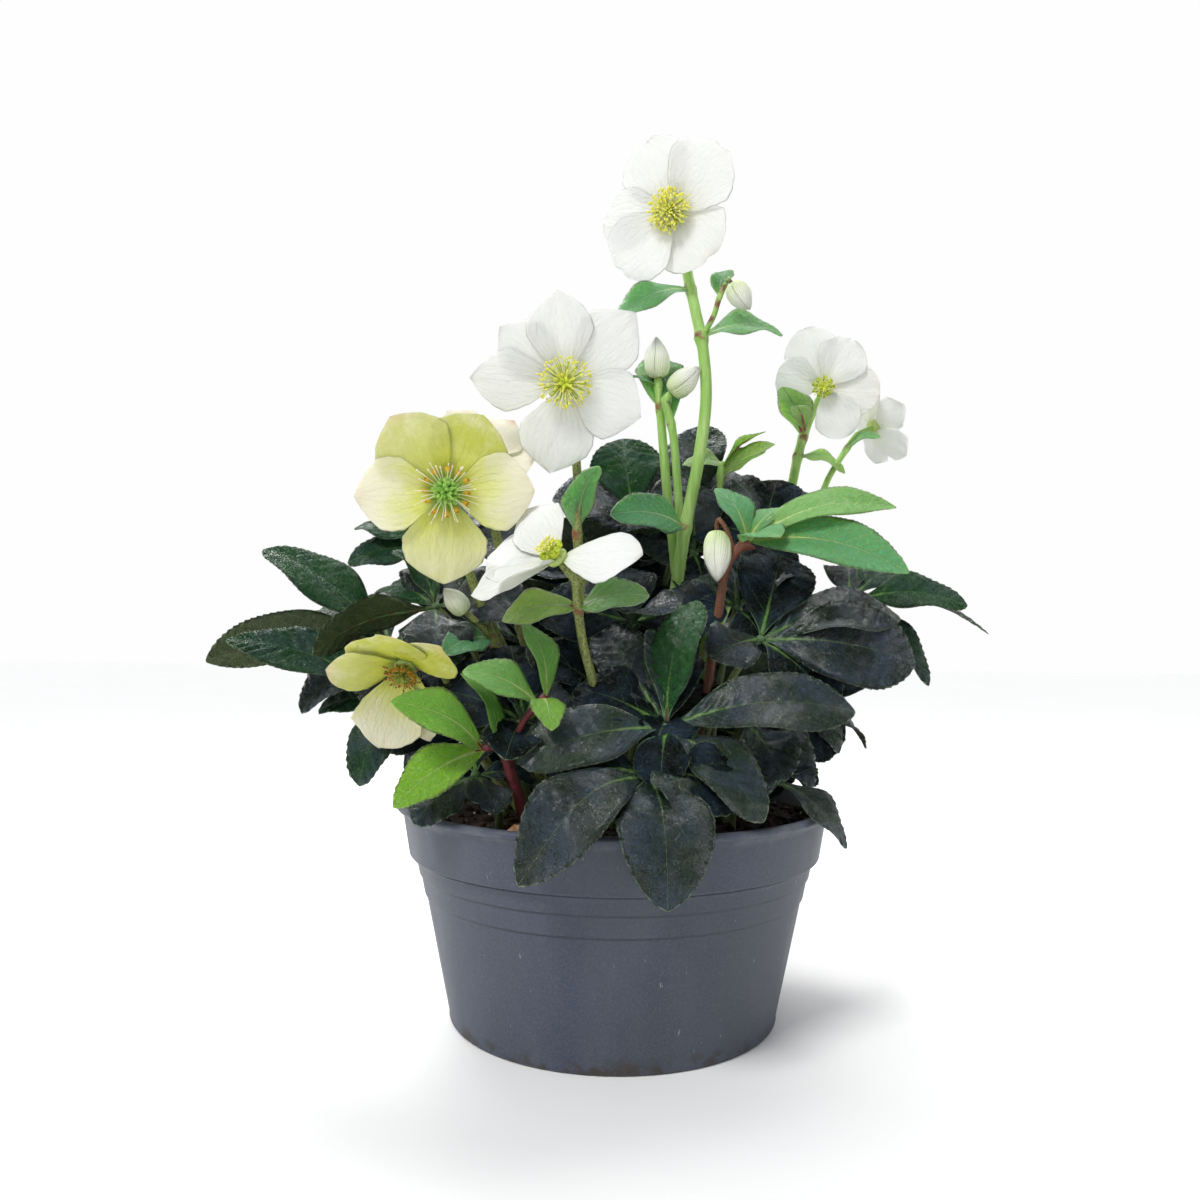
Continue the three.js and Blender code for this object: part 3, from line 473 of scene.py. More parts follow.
def makePot():
    shell = Grids()
    shell.addTube(revolved(potProfile(), pot["sides"]))
    made = shell.piece("pot_shell", [plasticSkin()], ["pot"])
    hole = pot["drainHole"]
    drills = Grids()
    for k in range(hole["count"]):
        centre = heading(360 * (k + 0.5) / hole["count"], 0) * hole["ring"]
        ends = [centre - [0, 0, 2], centre + [0, 0, 5]]
        drills.addTube(tubeRings(ends, [hole["radius"]] * 2, hole["sides"]))
    drilled(made, drills.piece("drain_cutter", [], []))
    print("pot turned and drilled")


makePot()


# Compost
soil = {
    "rings": 84, "sectors": 210, "mound": 9000, "sink": 0.6, "swell": 1.5, "grit": 1.3, "calm": (94, 107),
    "swellSize": 19, "gritSize": 4.5, "fineSize": 1.9, "fineShare": 0.55, "rimGap": 0.9, "wallGap": 0.6,
    "depths": (98.0, 60.0, 20.0, 3.4), "bottom": [4.0, 2.6], "dark": "#191310", "brown": "#3a2a20",
    "fibre": "#5d4533", "chalk": "#b9b2a4", "pale": "#d9d3c6", "shine": 0.25,
}
# Crumbs of the compost; a shape of three values is fixed, and one of two is the range of each side
crumbs = {
    "clods": {"count": 620, "from": 0.02, "reach": 106, "size": (0.8, 2.6), "shape": (0.7, 1.25), "skin": 1,
              "lift": 0, "liftShare": 0.15},
    "chips": {"count": 70, "from": 0.05, "reach": 104, "size": (0.8, 1.2), "shape": (4.6, 1.7, 0.8),
              "skin": 2, "lift": 1.0, "liftShare": 0},
    "perlite": {"count": 46, "from": 0.05, "reach": 107, "size": (0.5, 1.15), "shape": (0.8, 1.2), "skin": 3,
                "lift": 0.5, "liftShare": 0},
}
fibres = {"count": 90, "from": 0.02, "reach": 100, "long": (5, 13), "bend": 0.5, "lift": 0.55, "sides": 5,
          "radii": [0.12, 0.24, 0.3, 0.3, 0.26, 0.2, 0.1], "skin": 2}


def soilHeight(x, y):
    radius = math.hypot(x, y)

    def rough(size, layer):
        return noise.noise((x / size, y / size, layer))

    swell = soil["swell"] * rough(soil["swellSize"], 2.0)
    grit = soil["grit"] * (rough(soil["gritSize"], 5.0) + soil["fineShare"] * rough(soil["fineSize"], 9.0))
    calm = 1 - float(ease(*soil["calm"], radius))
    return soilTop - soil["sink"] + (swell + grit) * calm - radius * radius / soil["mound"]


# A point on the compost, raised by a lift
def onSoil(x, y, lift=0.0):
    return x, y, soilHeight(x, y) + lift


def soilSkin():
    skin = Skin("compost", Specular_IOR_Level=soil["shine"])
    place = skin.place()
    base = skin.mix(skin.span(skin.cloud(place, 260, 5, 0.7), 0.4, 0.66), soil["dark"], soil["brown"])
    base = skin.over(base, soil["fibre"], skin.cells(place, 420, "F1"), 0.2, 0.1, 0.5)
    return skin.finish(base, 0.95, skin.bump(skin.cloud(place, 700, 4, 0.75), 0.0009))


def crumbSkin(name, low, high, rough):
    skin = Skin(name, Specular_IOR_Level=soil["shine"])
    place = skin.place()
    base = skin.mix(skin.read("chance"), low, high)
    base = skin.over(base, low, skin.cloud(place, 900, 3), 0.35, 0.7, 0.5)
    return skin.finish(base, rough, skin.bump(skin.cloud(place, 1500, 3), 0.0004))


# An irregular lump: a small ball whose points are pushed in and out
def lump(centre, sizes, seed, rows=6, sides=7, push=0.38, grain=1.3, pole=0.12):
    rings = np.zeros((rows, sides, 3))
    for i, angle in enumerate(np.linspace(pole, math.pi - pole, rows)):
        for k, turn in enumerate(around(sides)):
            x, y, z = math.sin(angle) * math.cos(turn), math.sin(angle) * math.sin(turn), -math.cos(angle)
            dent = noise.noise((x * grain + seed, y * grain, z * grain))
            rings[i, k] = np.array([x, y, z]) * (1 + push * dent)
    turned = draw.uniform(0, fullTurn)
    across, side = math.cos(turned), math.sin(turned)
    swing = np.array([[across, -side, 0], [side, across, 0], [0, 0, 1]])
    return (rings * sizes) @ swing.T + centre


def soilSpot(kind):
    radius, angle = kind["reach"] * math.sqrt(draw.uniform(kind["from"], 1)), draw.uniform(0, fullTurn)
    return radius * math.cos(angle), radius * math.sin(angle)


def addCrumb(body, kind):
    x, y = soilSpot(kind)
    size, shape = draw.uniform(*kind["size"]), kind["shape"]
    sizes = size * (draw.uniform(*shape, 3) if len(shape) == 2 else np.array(shape))
    spot = onSoil(x, y, kind["lift"] + size * kind["liftShare"])
    body.addTube(lump(spot, sizes, draw.uniform(0, 99)), kind["skin"], chance=draw.uniform())


def addFibre(body):
    x, y = soilSpot(fibres)
    turn, long = draw.uniform(0, fullTurn), draw.uniform(*fibres["long"])
    bend = draw.uniform(-fibres["bend"], fibres["bend"])
    line = []
    for s in np.linspace(-0.5, 0.5, len(fibres["radii"])):
        east = long * (s * math.cos(turn) - bend * s * s * math.sin(turn))
        north = long * (s * math.sin(turn) + bend * s * s * math.cos(turn))
        line.append(onSoil(x + east, y + north, fibres["lift"]))
    body.addTube(tubeRings(line, fibres["radii"], fibres["sides"]), fibres["skin"], chance=draw.uniform())


def makeSoil():
    rim = innerRadius(soilTop) - soil["rimGap"]
    angles = around(soil["sectors"])
    top = np.zeros((soil["rings"], soil["sectors"], 3))
    for i, radius in enumerate(rim * np.sqrt(np.linspace(0.0004, 1, soil["rings"]))):
        for k, angle in enumerate(angles):
            top[i, k] = onSoil(radius * math.cos(angle), radius * math.sin(angle))
    wall = [[innerRadius(z) - soil["wallGap"], z] for z in soil["depths"]] + [soil["bottom"]]
    body = Grids()
    body.addTube(np.concatenate([top, revolved(wall, soil["sectors"])])[::-1])
    for kind in crumbs.values():
        for _ in range(kind["count"]):
            addCrumb(body, kind)
    for _ in range(fibres["count"]):
        addFibre(body)
    skins = [soilSkin(), crumbSkin("compostClod", soil["dark"], soil["brown"], 0.95),
             crumbSkin("barkChip", soil["brown"], soil["fibre"], 0.9),
             crumbSkin("perlite", soil["chalk"], soil["pale"], 0.9)]
    body.piece("compost_top", skins, ["soil"])
    print("compost filled, with crumbs:", {name: kind["count"] for name, kind in crumbs.items()})


makeSoil()


# Blades
# Shared by leaflets and bracts; the tables give each one as [turn, rise, length, width, lean], and a
# sixth value, where there is one, is its own tone
bladeForm = {
    "thick": 0.55, "edgeThin": 0.65, "footHalf": 0.9, "leastHalf": 0.25, "fold": 0.22, "ribSoft": 1.1,
    "rowStep": 1.15, "leastRows": 16, "lastRow": 0.997, "crowding": 1.08, "blunt": 0.35,
    "columns": [0.0, 0.07, 0.2, 0.4, 0.62, 0.82, 1.0], "otherSide": 0.37, "fullWave": 30,
    "toothLean": 0.8, "tipPlain": (0.93, 0.99), "veinSlant": 0.8, "veinCurve": 0.35, "veinShift": 0.4,
    "rib": {"thick": 1.15, "end": 0.18, "sides": 7, "every": 3, "sunk": 0.25, "sunkBy": 0.22},
}
dark = {
    "toothPitch": 3.3, "toothDepth": 0.75, "toothFrom": 0.42, "veinPitch": 7.5, "pucker": 0.8, "waves": 1.6,
    "wave": 2.5, "recurve": 0.10, "droop": 0.05, "sickle": 0.05, "twist": 7, "bow": 0.1, "peak": 0.6,
}
young = dict(dark, toothPitch=2.6, toothDepth=0.6, toothFrom=0.22, veinPitch=6.0, pucker=0.3, wave=1.4,
             recurve=0.05, bow=0.12, peak=0.53)
bract = dict(young, toothPitch=3.0, toothDepth=0.4, toothFrom=0.4, veinPitch=5.0, pucker=0.25, wave=2.4,
             recurve=0.06)


def leafHalf(q, wide, peak):
    power = math.log(0.5) / math.log(peak)
    bulge = np.sin(math.pi * q ** power) ** (1 - bladeForm["blunt"] * q)
    return bladeForm["footHalf"] * (1 - q) ** 2 + wide / 2 * bulge


# Stations across a sheet, from margin to margin
def mirrored(columns):
    columns = np.array(columns)
    return np.concatenate([-columns[::-1], columns[1:]])


# One leaflet as a closed skin: upper faces, margin and lower faces, then its raised midrib below
def addBlade(grids, base, entry, style, start=0.0, skins=(0, 1, 2), tone=0.5):
    form, rib = bladeForm, bladeForm["rib"]
    turn, rise, long, wide, lean = entry[:5]
    along = heading(turn, rise)
    up = rolled(heading(turn, rise + 90), along, -lean if along[0] < 0 else lean)
    side = np.cross(up, along)
    chance, phase = draw.uniform(), draw.uniform(0, 1)
    sickle = style["sickle"] * draw.uniform(-1, 1)
    twist = math.radians(style["twist"]) * draw.uniform(-1, 1)
    reach = long - start
    rows = max(form["leastRows"], int(long / form["rowStep"]))
    q = (1 - (1 - np.linspace(0, form["lastRow"], rows)) ** form["crowding"])[:, None]
    s = mirrored(form["columns"])

    # Outline: half width along the rib, and teeth that lean to the tip
    half = np.maximum(leafHalf(q, wide, style["peak"]), form["leastHalf"])
    teeth = ((q * (reach / style["toothPitch"])) % 1) ** 1.3
    push = style["toothDepth"] * teeth * ease(style["toothFrom"], style["toothFrom"] + 0.2, q)
    push = push * (1 - ease(*form["tipPlain"], q))
    margin = np.abs(s) ** 8
    x = s * half + np.sign(s) * margin * push
    y = reach * q + margin * push * form["toothLean"]
    slant = form["veinSlant"] * np.abs(x)
    lateral = (reach * q - slant - form["veinCurve"] * x * x / np.maximum(half, 3)) / style["veinPitch"]
    lateral = lateral + phase + form["veinShift"] * (s > 0)

    # Height: bow of the rib, fold, puckers between the veins, waves of the margin, and its curl
    arch = style["bow"] * long * np.sin(math.pi * q)
    folded = form["fold"] * (np.sqrt(x * x + form["ribSoft"] * form["ribSoft"]) - form["ribSoft"])
    inner = np.clip(np.abs(x) / 3, 0, 1) * (1 - np.abs(s) ** 6)
    puckered = style["pucker"] * -np.cos(fullTurn * lateral) * inner * ease(0, 0.15, q)
    swell = np.sin(fullTurn * (style["waves"] * q + phase + form["otherSide"] * (s > 0))) * s * s
    waved = style["wave"] * swell * (np.sin(math.pi * q) ** 0.7) * min(1, wide / form["fullWave"])
    curled = -style["recurve"] * half * np.abs(s) ** 3 - style["droop"] * long * q ** 3
    z = arch + folded + puckered + waved + curled
    turned = twist * q
    xs = x * np.cos(turned) - (z - arch) * np.sin(turned) + sickle * long * q ** 2
    zs = arch + x * np.sin(turned) + (z - arch) * np.cos(turned)
    middle = base + (start + y)[..., None] * along + xs[..., None] * side + zs[..., None] * up
    thick = (form["thick"] * (1 - form["edgeThin"] * np.abs(s) ** 3) / 2)[None, :, None] * up
    grids.addSheet(middle, thick, skins, (x / 100 + chance * 7, y / 100 + chance * 3), along=q, fromRib=x,
                   fromEdge=half * (1 - np.abs(s)), lateral=lateral, chance=chance, tone=tone)

    spine, ribQ = middle[::rib["every"], len(s) // 2], q[::rib["every"], 0]
    thin = (rib["thick"] * (1 - ribQ) ** 1.4 + rib["end"]) * min(1, 0.55 + long / 150)
    sunk = thin * (rib["sunk"] + (1 - rib["sunk"]) * ease(0.0, rib["sunkBy"], ribQ))
    grids.addTube(tubeRings(spine - up * sunk[:, None], thin, rib["sides"]), skins[2],
                  along=ribQ[:, None], chance=chance, tone=tone)


# Leaf finishes
# Vein lines come from "lateral", a finer net from two sets of cells, and the rib from the distance to it
def bladeSkin(name, look):
    skin = Skin(name, Specular_IOR_Level=look["shine"], **through(look["through"], 0.5, 1.0, 0.25))
    flat, place = skin.flat(), skin.place()
    along, tone = skin.read("along"), skin.read("tone")
    patches = skin.cloud(flat, 6, 3, 0.5)
    base = skin.mix(tone, look["deep"], look["rich"])
    lasting = skin.span(tone, 0.3, 1.0, 1.0, look["tintAndSheenLast"])
    # The colour laid in cloudy patches here is a painted blue-grey sheen on the dark leaves, and a patchy
    # tint on young leaves and bracts
    base = skin.mix(skin.times(skin.span(patches, 0.38, 0.66, 0, look["tintAndSheenShare"]), lasting), base, look["tintAndSheen"])
    base = skin.over(base, look["deep"], skin.cloud(place, 420, 3, 0.7), 0.3, 0.75, 0.2)

    veinLine = skin.plus(skin.read("lateral"), skin.span(skin.cloud(flat, 45, 2), 0, 1, -0.16, 0.16))
    fromVein = skin.sum("ABSOLUTE", skin.sum("SUBTRACT", skin.sum("FRACT", veinLine), 0.5))
    ribs = skin.span(fromVein, 0.43, 0.49)
    wander = skin.node("ShaderNodeTexNoise", {"Vector": flat, "Scale": 60.0}).outputs["Color"]
    warped = skin.node("ShaderNodeMix", {0: 0.07, 4: flat, 5: wander}, data_type="VECTOR").outputs[1]
    net = skin.span(skin.cells(warped, 40), 0.1, 0.0)
    fine = skin.span(skin.cells(warped, 105), 0.12, 0.0)
    fromRib = skin.sum("ABSOLUTE", skin.read("fromRib"))
    rib = skin.span(skin.sum("DIVIDE", fromRib, skin.span(along, 0.0, 0.7, look["ribWide"], 0.2)), 1.3, 0.5)
    base = skin.mix(skin.times(fine, look["net"] * 0.5), base, look["vein"])
    base = skin.mix(skin.times(net, look["net"]), base, look["vein"])
    sides = skin.span(along, 0.1, 0.9, look["side"], look["side"] * 0.5)
    base = skin.mix(skin.times(ribs, sides), base, look["vein"])
    glow = skin.times(skin.span(fromRib, 4.0, 0.3), skin.span(along, look["glowTo"], 0.0, 0, 0.75))
    base = skin.mix(glow, base, look["glow"])
    ribShown = skin.times(rib, skin.span(along, 0.05, look["ribTo"], 1.0, look["ribLast"]))
    base = skin.mix(ribShown, base, look["rib"])
    base = skin.over(base, look["rim"], skin.read("fromEdge"), 0.8, 0.3, look["edge"])

    worn = skin.plus(patches, skin.times(skin.read("chance"), 0.2))
    relief = skin.plus(skin.times(net, -0.6), skin.times(fine, -0.25))
    relief = skin.plus(skin.plus(relief, skin.times(ribs, -1.0)), skin.times(rib, -1.2))
    normal = skin.bump(relief, look["relief"])
    normal = skin.bump(skin.cloud(flat, 20, 3), 0.004, normal, strength=look["crumple"])
    return skin, base, skin.span(worn, 0.35, 0.85, *look["rough"]), normal, flat


# On the dark leaves and their undersides, the colour laid in cloudy patches is a painted sheen
darkLook = {
    "deep": "#060b0b", "rich": "#256124", "tintAndSheen": "#35465a", "tintAndSheenShare": 0.7, "tintAndSheenLast": 0.2,
    "vein": "#4f6a58", "net": 0.14, "side": 0.55, "glow": "#3b6c3a", "glowTo": 0.36, "rib": "#84ae5c",
    "ribWide": 1.0, "ribTo": 0.42, "ribLast": 0.3, "rim": "#86a07c", "edge": 0.85, "rough": (0.22, 0.36),
    "shine": 0.5, "relief": 0.0008, "crumple": 0.6, "through": 0.0,
}
underLook = dict(darkLook, deep="#34432f", rich="#5c6b40", tintAndSheen="#3a4a3c", tintAndSheenShare=0.5, vein="#7c8f66",
                 net=0.25, glow="#5f7448", rib="#8aa062", ribLast=0.8, rough=(0.5, 0.68), shine=0.3, edge=0.4)
youngLook = {
    "deep": "#5fab76", "rich": "#7db312", "tintAndSheen": "#6fb052", "tintAndSheenShare": 0.3, "tintAndSheenLast": 0.5,
    "vein": "#b2d876", "net": 0.2, "side": 0.75, "glow": "#a8d24c", "glowTo": 0.45, "rib": "#cbe58c",
    "ribWide": 0.9, "ribTo": 0.9, "ribLast": 0.6, "rim": "#b2d67c", "edge": 0.45, "rough": (0.36, 0.55),
    "shine": 0.32, "relief": 0.0005, "crumple": 0.5, "through": 0.25,
}
youngUnderLook = dict(youngLook, deep="#7fb576", rich="#9cc568", tintAndSheen="#8abb80", vein="#b9d8a0",
                      rib="#cfe3ae", rough=(0.5, 0.66))
bractLook = dict(youngLook, deep="#478c5a", rich="#abd258", tintAndSheen="#64a862", vein="#a9d29c", rib="#bddca0",
                 ribWide=0.7, glow="#93c05c", rim="#c0dab0", edge=0.65, through=0.35)
bractUnderLook = dict(bractLook, deep="#6aa57c", rich="#b6dc70", tintAndSheen="#85b87a", vein="#b6d8a8",
                      rough=(0.5, 0.66))
# Gloss of the dark upper faces: full on leaves of tone 0.05 to 0.25, lower on paler and on inward ones
darkGloss = {"coat": 0.25, "coatRough": 0.34, "least": 0.35, "pale": (0.25, 0.75), "paleTo": 0.35,
             "inward": (-0.35, 0.05), "inwardFrom": 0.12, "dust": "#b9b6a6"}


def darkTop():
    skin, base, rough, normal, flat = bladeSkin("leafDark", darkLook)
    tone = skin.read("tone")
    rare = skin.span(skin.cloud(flat, 14, 1), 0.6, 0.66)
    dust = skin.span(skin.cells(flat, 34, "F1"), 0.05, 0.03)
    base = skin.mix(skin.times(dust, rare), base, darkGloss["dust"])
    gloss = skin.span(skin.cloud(flat, 4, 2, 0.5), 0.4, 0.62, darkGloss["least"], 1.0)
    kept = skin.times(skin.span(tone, *darkGloss["pale"], 1.0, darkGloss["paleTo"]),
                      skin.span(tone, *darkGloss["inward"], darkGloss["inwardFrom"], 1.0))
    coat = skin.times(skin.sum("POWER", kept, 2.0), darkGloss["coat"])
    skin.set(Specular_IOR_Level=skin.times(gloss, kept), Coat_Weight=coat)
    skin.set(Coat_Roughness=darkGloss["coatRough"])
    return skin.finish(base, rough, normal)


def plainBlade(name, look):
    skin, base, rough, normal, _ = bladeSkin(name, look)
    return skin.finish(base, rough, normal)


# Stalks and ribs: streaks along the tube, with speckles, and a red flush where the tone asks
def stalkSkin(name, low, high, speckle=None, speckleShare=0.0, flush="#7a3530"):
    skin = Skin(name, Specular_IOR_Level=0.4)
    place = skin.place()
    streak = skin.cloud(skin.stretched(place, (1, 1, 0.1)), 420, 3)
    base = skin.mix(skin.span(streak, 0.32, 0.7), low, high)
    base = skin.over(base, low, skin.cloud(place, 35, 2), 0.35, 0.7, 0.5)
    if speckle:
        base = skin.over(base, speckle, skin.cloud(place, 1100, 2, 0.6), 0.5, 0.62, speckleShare)
    uneven = skin.span(skin.cloud(place, 160, 2), 0.3, 0.7, -0.35, 0.25)
    base = skin.over(base, flush, skin.plus(skin.read("tone"), uneven), 0.4, 0.9)
    return skin.finish(base, skin.span(streak, 0.3, 0.7, 0.42, 0.6), skin.bump(streak, 0.00035))


leafTop = darkTop()
leafUnder = plainBlade("leafUnderside", underLook)
leafRib = stalkSkin("leafMidrib", "#3c5636", "#5c7a48", flush="#54402f")
leafStalk = stalkSkin("leafPetiole", "#5a6a3a", "#86955a", "#4b3a30", 0.5)
youngRib = stalkSkin("youngMidrib", "#86b45c", "#a6cc78", flush="#8a4038")
youngSkins = [plainBlade("leafYoungTop", youngLook), plainBlade("leafYoungUnder", youngUnderLook), youngRib]
bractSkins = [plainBlade("bractTop", bractLook), plainBlade("bractUnder", bractUnderLook), youngRib]
print("leaf finishes ready")


# Dark leaves
petiole = {"foot": 2.1, "hub": 1.6, "sides": 10, "steps": 22, "standFrom": 96.3, "standTo": 107,
           "squash": 0.86, "upright": 0.45, "bendIn": 0.3, "bendDown": 0.12, "swell": 0.5, "swellLong": 0.05,
           "tone": 0.25, "joint": (2.6, 2.6, 2.2), "jointTone": 0.2, "inset": 1.4}
# Inward leaflets are painted darker, as shade deep in the plant, and are also duller
leafTone = {"plain": 0.05, "spread": 0.25, "inwardShade": 0.65}  # inward leaflets are darker and duller
# Foot of the petiole, hub where the leaflets meet, and the leaflets; "more" holds the inward ones
leaves = {
    "leaf_front": {"foot": (14, -40), "hub": (24, -74, 156),
     "leaflets": [[-168, -13, 71, 36, 46], [128, 40, 74, 26, 40], [106, 64, 52, 14, 0],
                  [50, 71, 64, 32, 0, 1.0], [-3, 9, 87, 36, 45], [-30, -37, 62, 32, 28]],
     "more": [[78, 50, 50, 34, 0], [160, 20, 50, 34, 50], [-100, -50, 34, 26, 0]]},
    "leaf_front_low": {"foot": (6, -56), "hub": (16, -80, 134), "bow": 0.26,
     "leaflets": [[-140, -30, 80, 36, 30], [-83, -45, 67, 42, 0], [-60, -24, 38, 26, 0]],
     "more": [[-166, -8, 48, 34, 50], [-20, -12, 44, 34, 50], [60, 50, 40, 34, 20]]},
    "leaf_right_big": {"foot": (40, -22), "hub": (72, -42, 197),
     "leaflets": [[-8, -8, 76, 50, 58], [9, 13, 74, 40, 35], [-141, -16, 34, 28, 40]],
     "more": [[60, 52, 58, 40, 20], [-32, -42, 50, 40, 30], [100, -30, 44, 34, 0]]},
    "leaf_right_up": {"foot": (50, -6), "hub": (63, -20, 213),
     "leaflets": [[12, 40, 40, 30, 30], [107, 63, 36, 28, 0], [158, 29, 30, 24, 45]],
     "more": [[75, 60, 44, 38, 0], [-60, -40, 34, 30, 10]]},
    "leaf_far_right": {"tone": 0.5, "foot": (58, 8), "hub": (130, 15, 219),
     "leaflets": [[-10, 1, 62, 30, 44], [4, -10, 81, 16, 20], [-24, -44, 62, 22, 30], [36, 26, 50, 26, 20]],
     "more": [[80, 30, 48, 28, 0]]},
    "leaf_right_drop": {"foot": (60, -6), "hub": (99, -5, 165),
     "leaflets": [[-16, -50, 34, 20, 30], [22, -30, 50, 24, 30]],
     "more": [[80, 20, 44, 34, 10], [-140, -14, 44, 34, 40], [30, 20, 48, 34, 40]]},
    "leaf_right_low": {"foot": (56, -24), "hub": (66, -32, 155),
     "leaflets": [[-62, -38, 40, 30, 20], [-22, -38, 46, 26, 30], [16, -14, 38, 26, 50]],
     "more": [[60, 10, 44, 34, 20], [160, 14, 40, 32, 40]]},
    "leaf_right_rim": {"foot": (58, -44), "hub": (74, -56, 131),
     "leaflets": [[-3, -38, 50, 22, 30], [-110, -10, 30, 22, 0]],
     "more": [[50, 0, 36, 24, 10]]},
    "leaf_left_big": {"tone": 0.6, "foot": (-48, -4), "hub": (-119, -18, 192),
     "leaflets": [[-176, 37, 84, 36, 40], [178, -2, 98, 37, -46], [141, 18, 70, 32, 30]],
     "more": [[-150, -36, 56, 36, 20], [110, 40, 50, 34, 20], [10, 10, 54, 38, 50], [-80, -50, 44, 34, 0]]},
    "leaf_left_low": {"tone": 0.45, "foot": (-56, -22), "hub": (-109, -34, 164),
     "leaflets": [[-178, 22, 94, 26, 50], [169, -5, 46, 20, 40], [-135, -57, 47, 26, 20]],
     "more": [[120, 20, 50, 34, 20], [10, 12, 50, 38, 50]]},
    "leaf_left_mid": {"tone": 0.6, "foot": (-44, -30), "hub": (-92, -32, 212),
     "leaflets": [[-155, -20, 66, 30, -40], [150, 52, 40, 28, 0], [136, 14, 52, 28, 30]],
     "more": [[100, 20, 46, 34, 10], [0, 4, 48, 38, 50], [-80, -44, 44, 36, 0]]},
    "leaf_left_up": {"tone": 0.6, "foot": (-40, 10), "hub": (-96, 6, 244),
     "leaflets": [[-174, -7, 52, 28, 40], [169, 17, 54, 28, 30], [116, 50, 48, 30, 0]],
     "more": [[60, 44, 46, 36, 20], [5, 6, 52, 38, 50], [-90, -44, 46, 36, 0]]},
    "leaf_left_rim": {"foot": (-56, -50), "hub": (-66, -64, 131),
     "leaflets": [[-141, -28, 38, 26, 30], [-60, -34, 26, 22, 0]],
     "more": [[100, 20, 34, 22, 10], [20, -6, 30, 22, 20]]},
    "leaf_top_left": {"tone": 0.5, "foot": (-4, 34), "hub": (10, 45, 268),
     "leaflets": [[120, 70, 54, 42, 30], [160, 30, 46, 32, 40], [76, 40, 38, 30, 0]],
     "more": [[10, 16, 50, 38, 50], [-160, 10, 50, 38, 50], [-60, -40, 44, 36, 0]]},
    "leaf_top_mid": {"tone": 0.3, "foot": (10, 38), "hub": (46, 62, 276),
     "leaflets": [[64, 80, 54, 42, 0], [25, 30, 44, 34, 40], [120, 36, 44, 32, 30]],
     "more": [[160, 40, 50, 40, 40], [-10, 6, 50, 38, 50], [-100, -44, 48, 40, 0]]},
    "leaf_top_front": {"tone": -0.2, "foot": (22, 18), "hub": (44, 26, 246),
     "leaflets": [[100, 76, 42, 34, 0], [120, 30, 34, 28, 40]],
     "more": [[20, 20, 48, 36, 50], [170, 10, 48, 36, 50], [-80, -50, 44, 36, 0]]},
    "leaf_top_right": {"tone": -0.1, "foot": (34, 22), "hub": (84, 26, 254),
     "leaflets": [[140, 62, 42, 32, 0], [34, 46, 44, 33, 20], [10, 10, 46, 34, 45]],
     "more": [[-100, -46, 44, 38, 0], [170, 10, 44, 34, 50], [60, 60, 44, 36, 10]]},
    # The next three leaves sit deep in the middle; their tones below zero paint shade on them
    "leaf_middle": {"tone": -0.35, "foot": (6, -10), "hub": (8, -20, 205),
     "leaflets": [[-120, 18, 44, 30, 30], [-60, 10, 42, 30, 30], [100, 50, 42, 30, 0]],
     "more": [[-10, 6, 50, 38, 55], [-172, 6, 50, 38, 55], [-90, -54, 50, 40, 0]]},
    "leaf_middle_low": {"tone": -0.35, "foot": (-9, -37), "hub": (-2, -40, 166),
     "leaflets": [[178, 32, 50, 30, 50], [-4, 30, 48, 32, 50]],
     "more": [[-100, -30, 36, 34, 10], [90, 50, 50, 40, 0], [140, 50, 44, 34, 20]]},
    "leaf_left_inner": {"tone": -0.25, "foot": (-20, -52), "hub": (-44, -60, 157),
     "leaflets": [[170, 20, 40, 30, 60], [-8, 14, 26, 28, 62], [-158, 50, 34, 24, 20]],
     "more": [[110, 50, 48, 38, 10], [60, 40, 44, 36, 20], [-100, -24, 34, 28, 10]]},
}

# Leaves on the far side, spaced round the pot: [turn, distance of the hub, height of the hub]
farLeaves = [[28, 88, 140], [62, 90, 196], [92, 88, 138], [126, 90, 192], [160, 86, 142], [100, 56, 226]]
farLeaflet = {"spread": [-64, 0, 64], "long": 68, "wide": 42, "rise": 16, "lean": 24, "narrowing": 340,
              "foot": 0.5, "more": [[150, 40, 62, 40, 0], [-150, 34, 62, 40, 0]],
              "inside": [[90, 62, 64, 46, 0], [4, 8, 58, 46, 60], [176, 8, 58, 46, 60],
                         [-86, -48, 44, 46, 0], [40, 46, 58, 44, 40], [140, 46, 58, 44, 40],
                         [20, -24, 52, 44, 50], [160, -24, 52, 44, 50]]}


def farLeaf(turn, distance, height):
    out, leaflets = heading(turn, 0), []
    for spread in farLeaflet["spread"]:
        share = 1 - abs(spread) / farLeaflet["narrowing"]
        leaflets.append([turn + spread, farLeaflet["rise"], farLeaflet["long"] * share,
                         farLeaflet["wide"] * share, farLeaflet["lean"]])
    inward = [[turn + swing, *shape] for swing, *shape in farLeaflet["more"]] + farLeaflet["inside"]
    return {"foot": out[:2] * distance * farLeaflet["foot"], "hub": out * distance + [0, 0, height],
            "leaflets": leaflets, "more": inward}


# The line that rises straight out of the compost at a foot and goes on along a curve
def rooted(foot, curve):
    return np.vstack([[*foot, petiole["standFrom"]], curve])


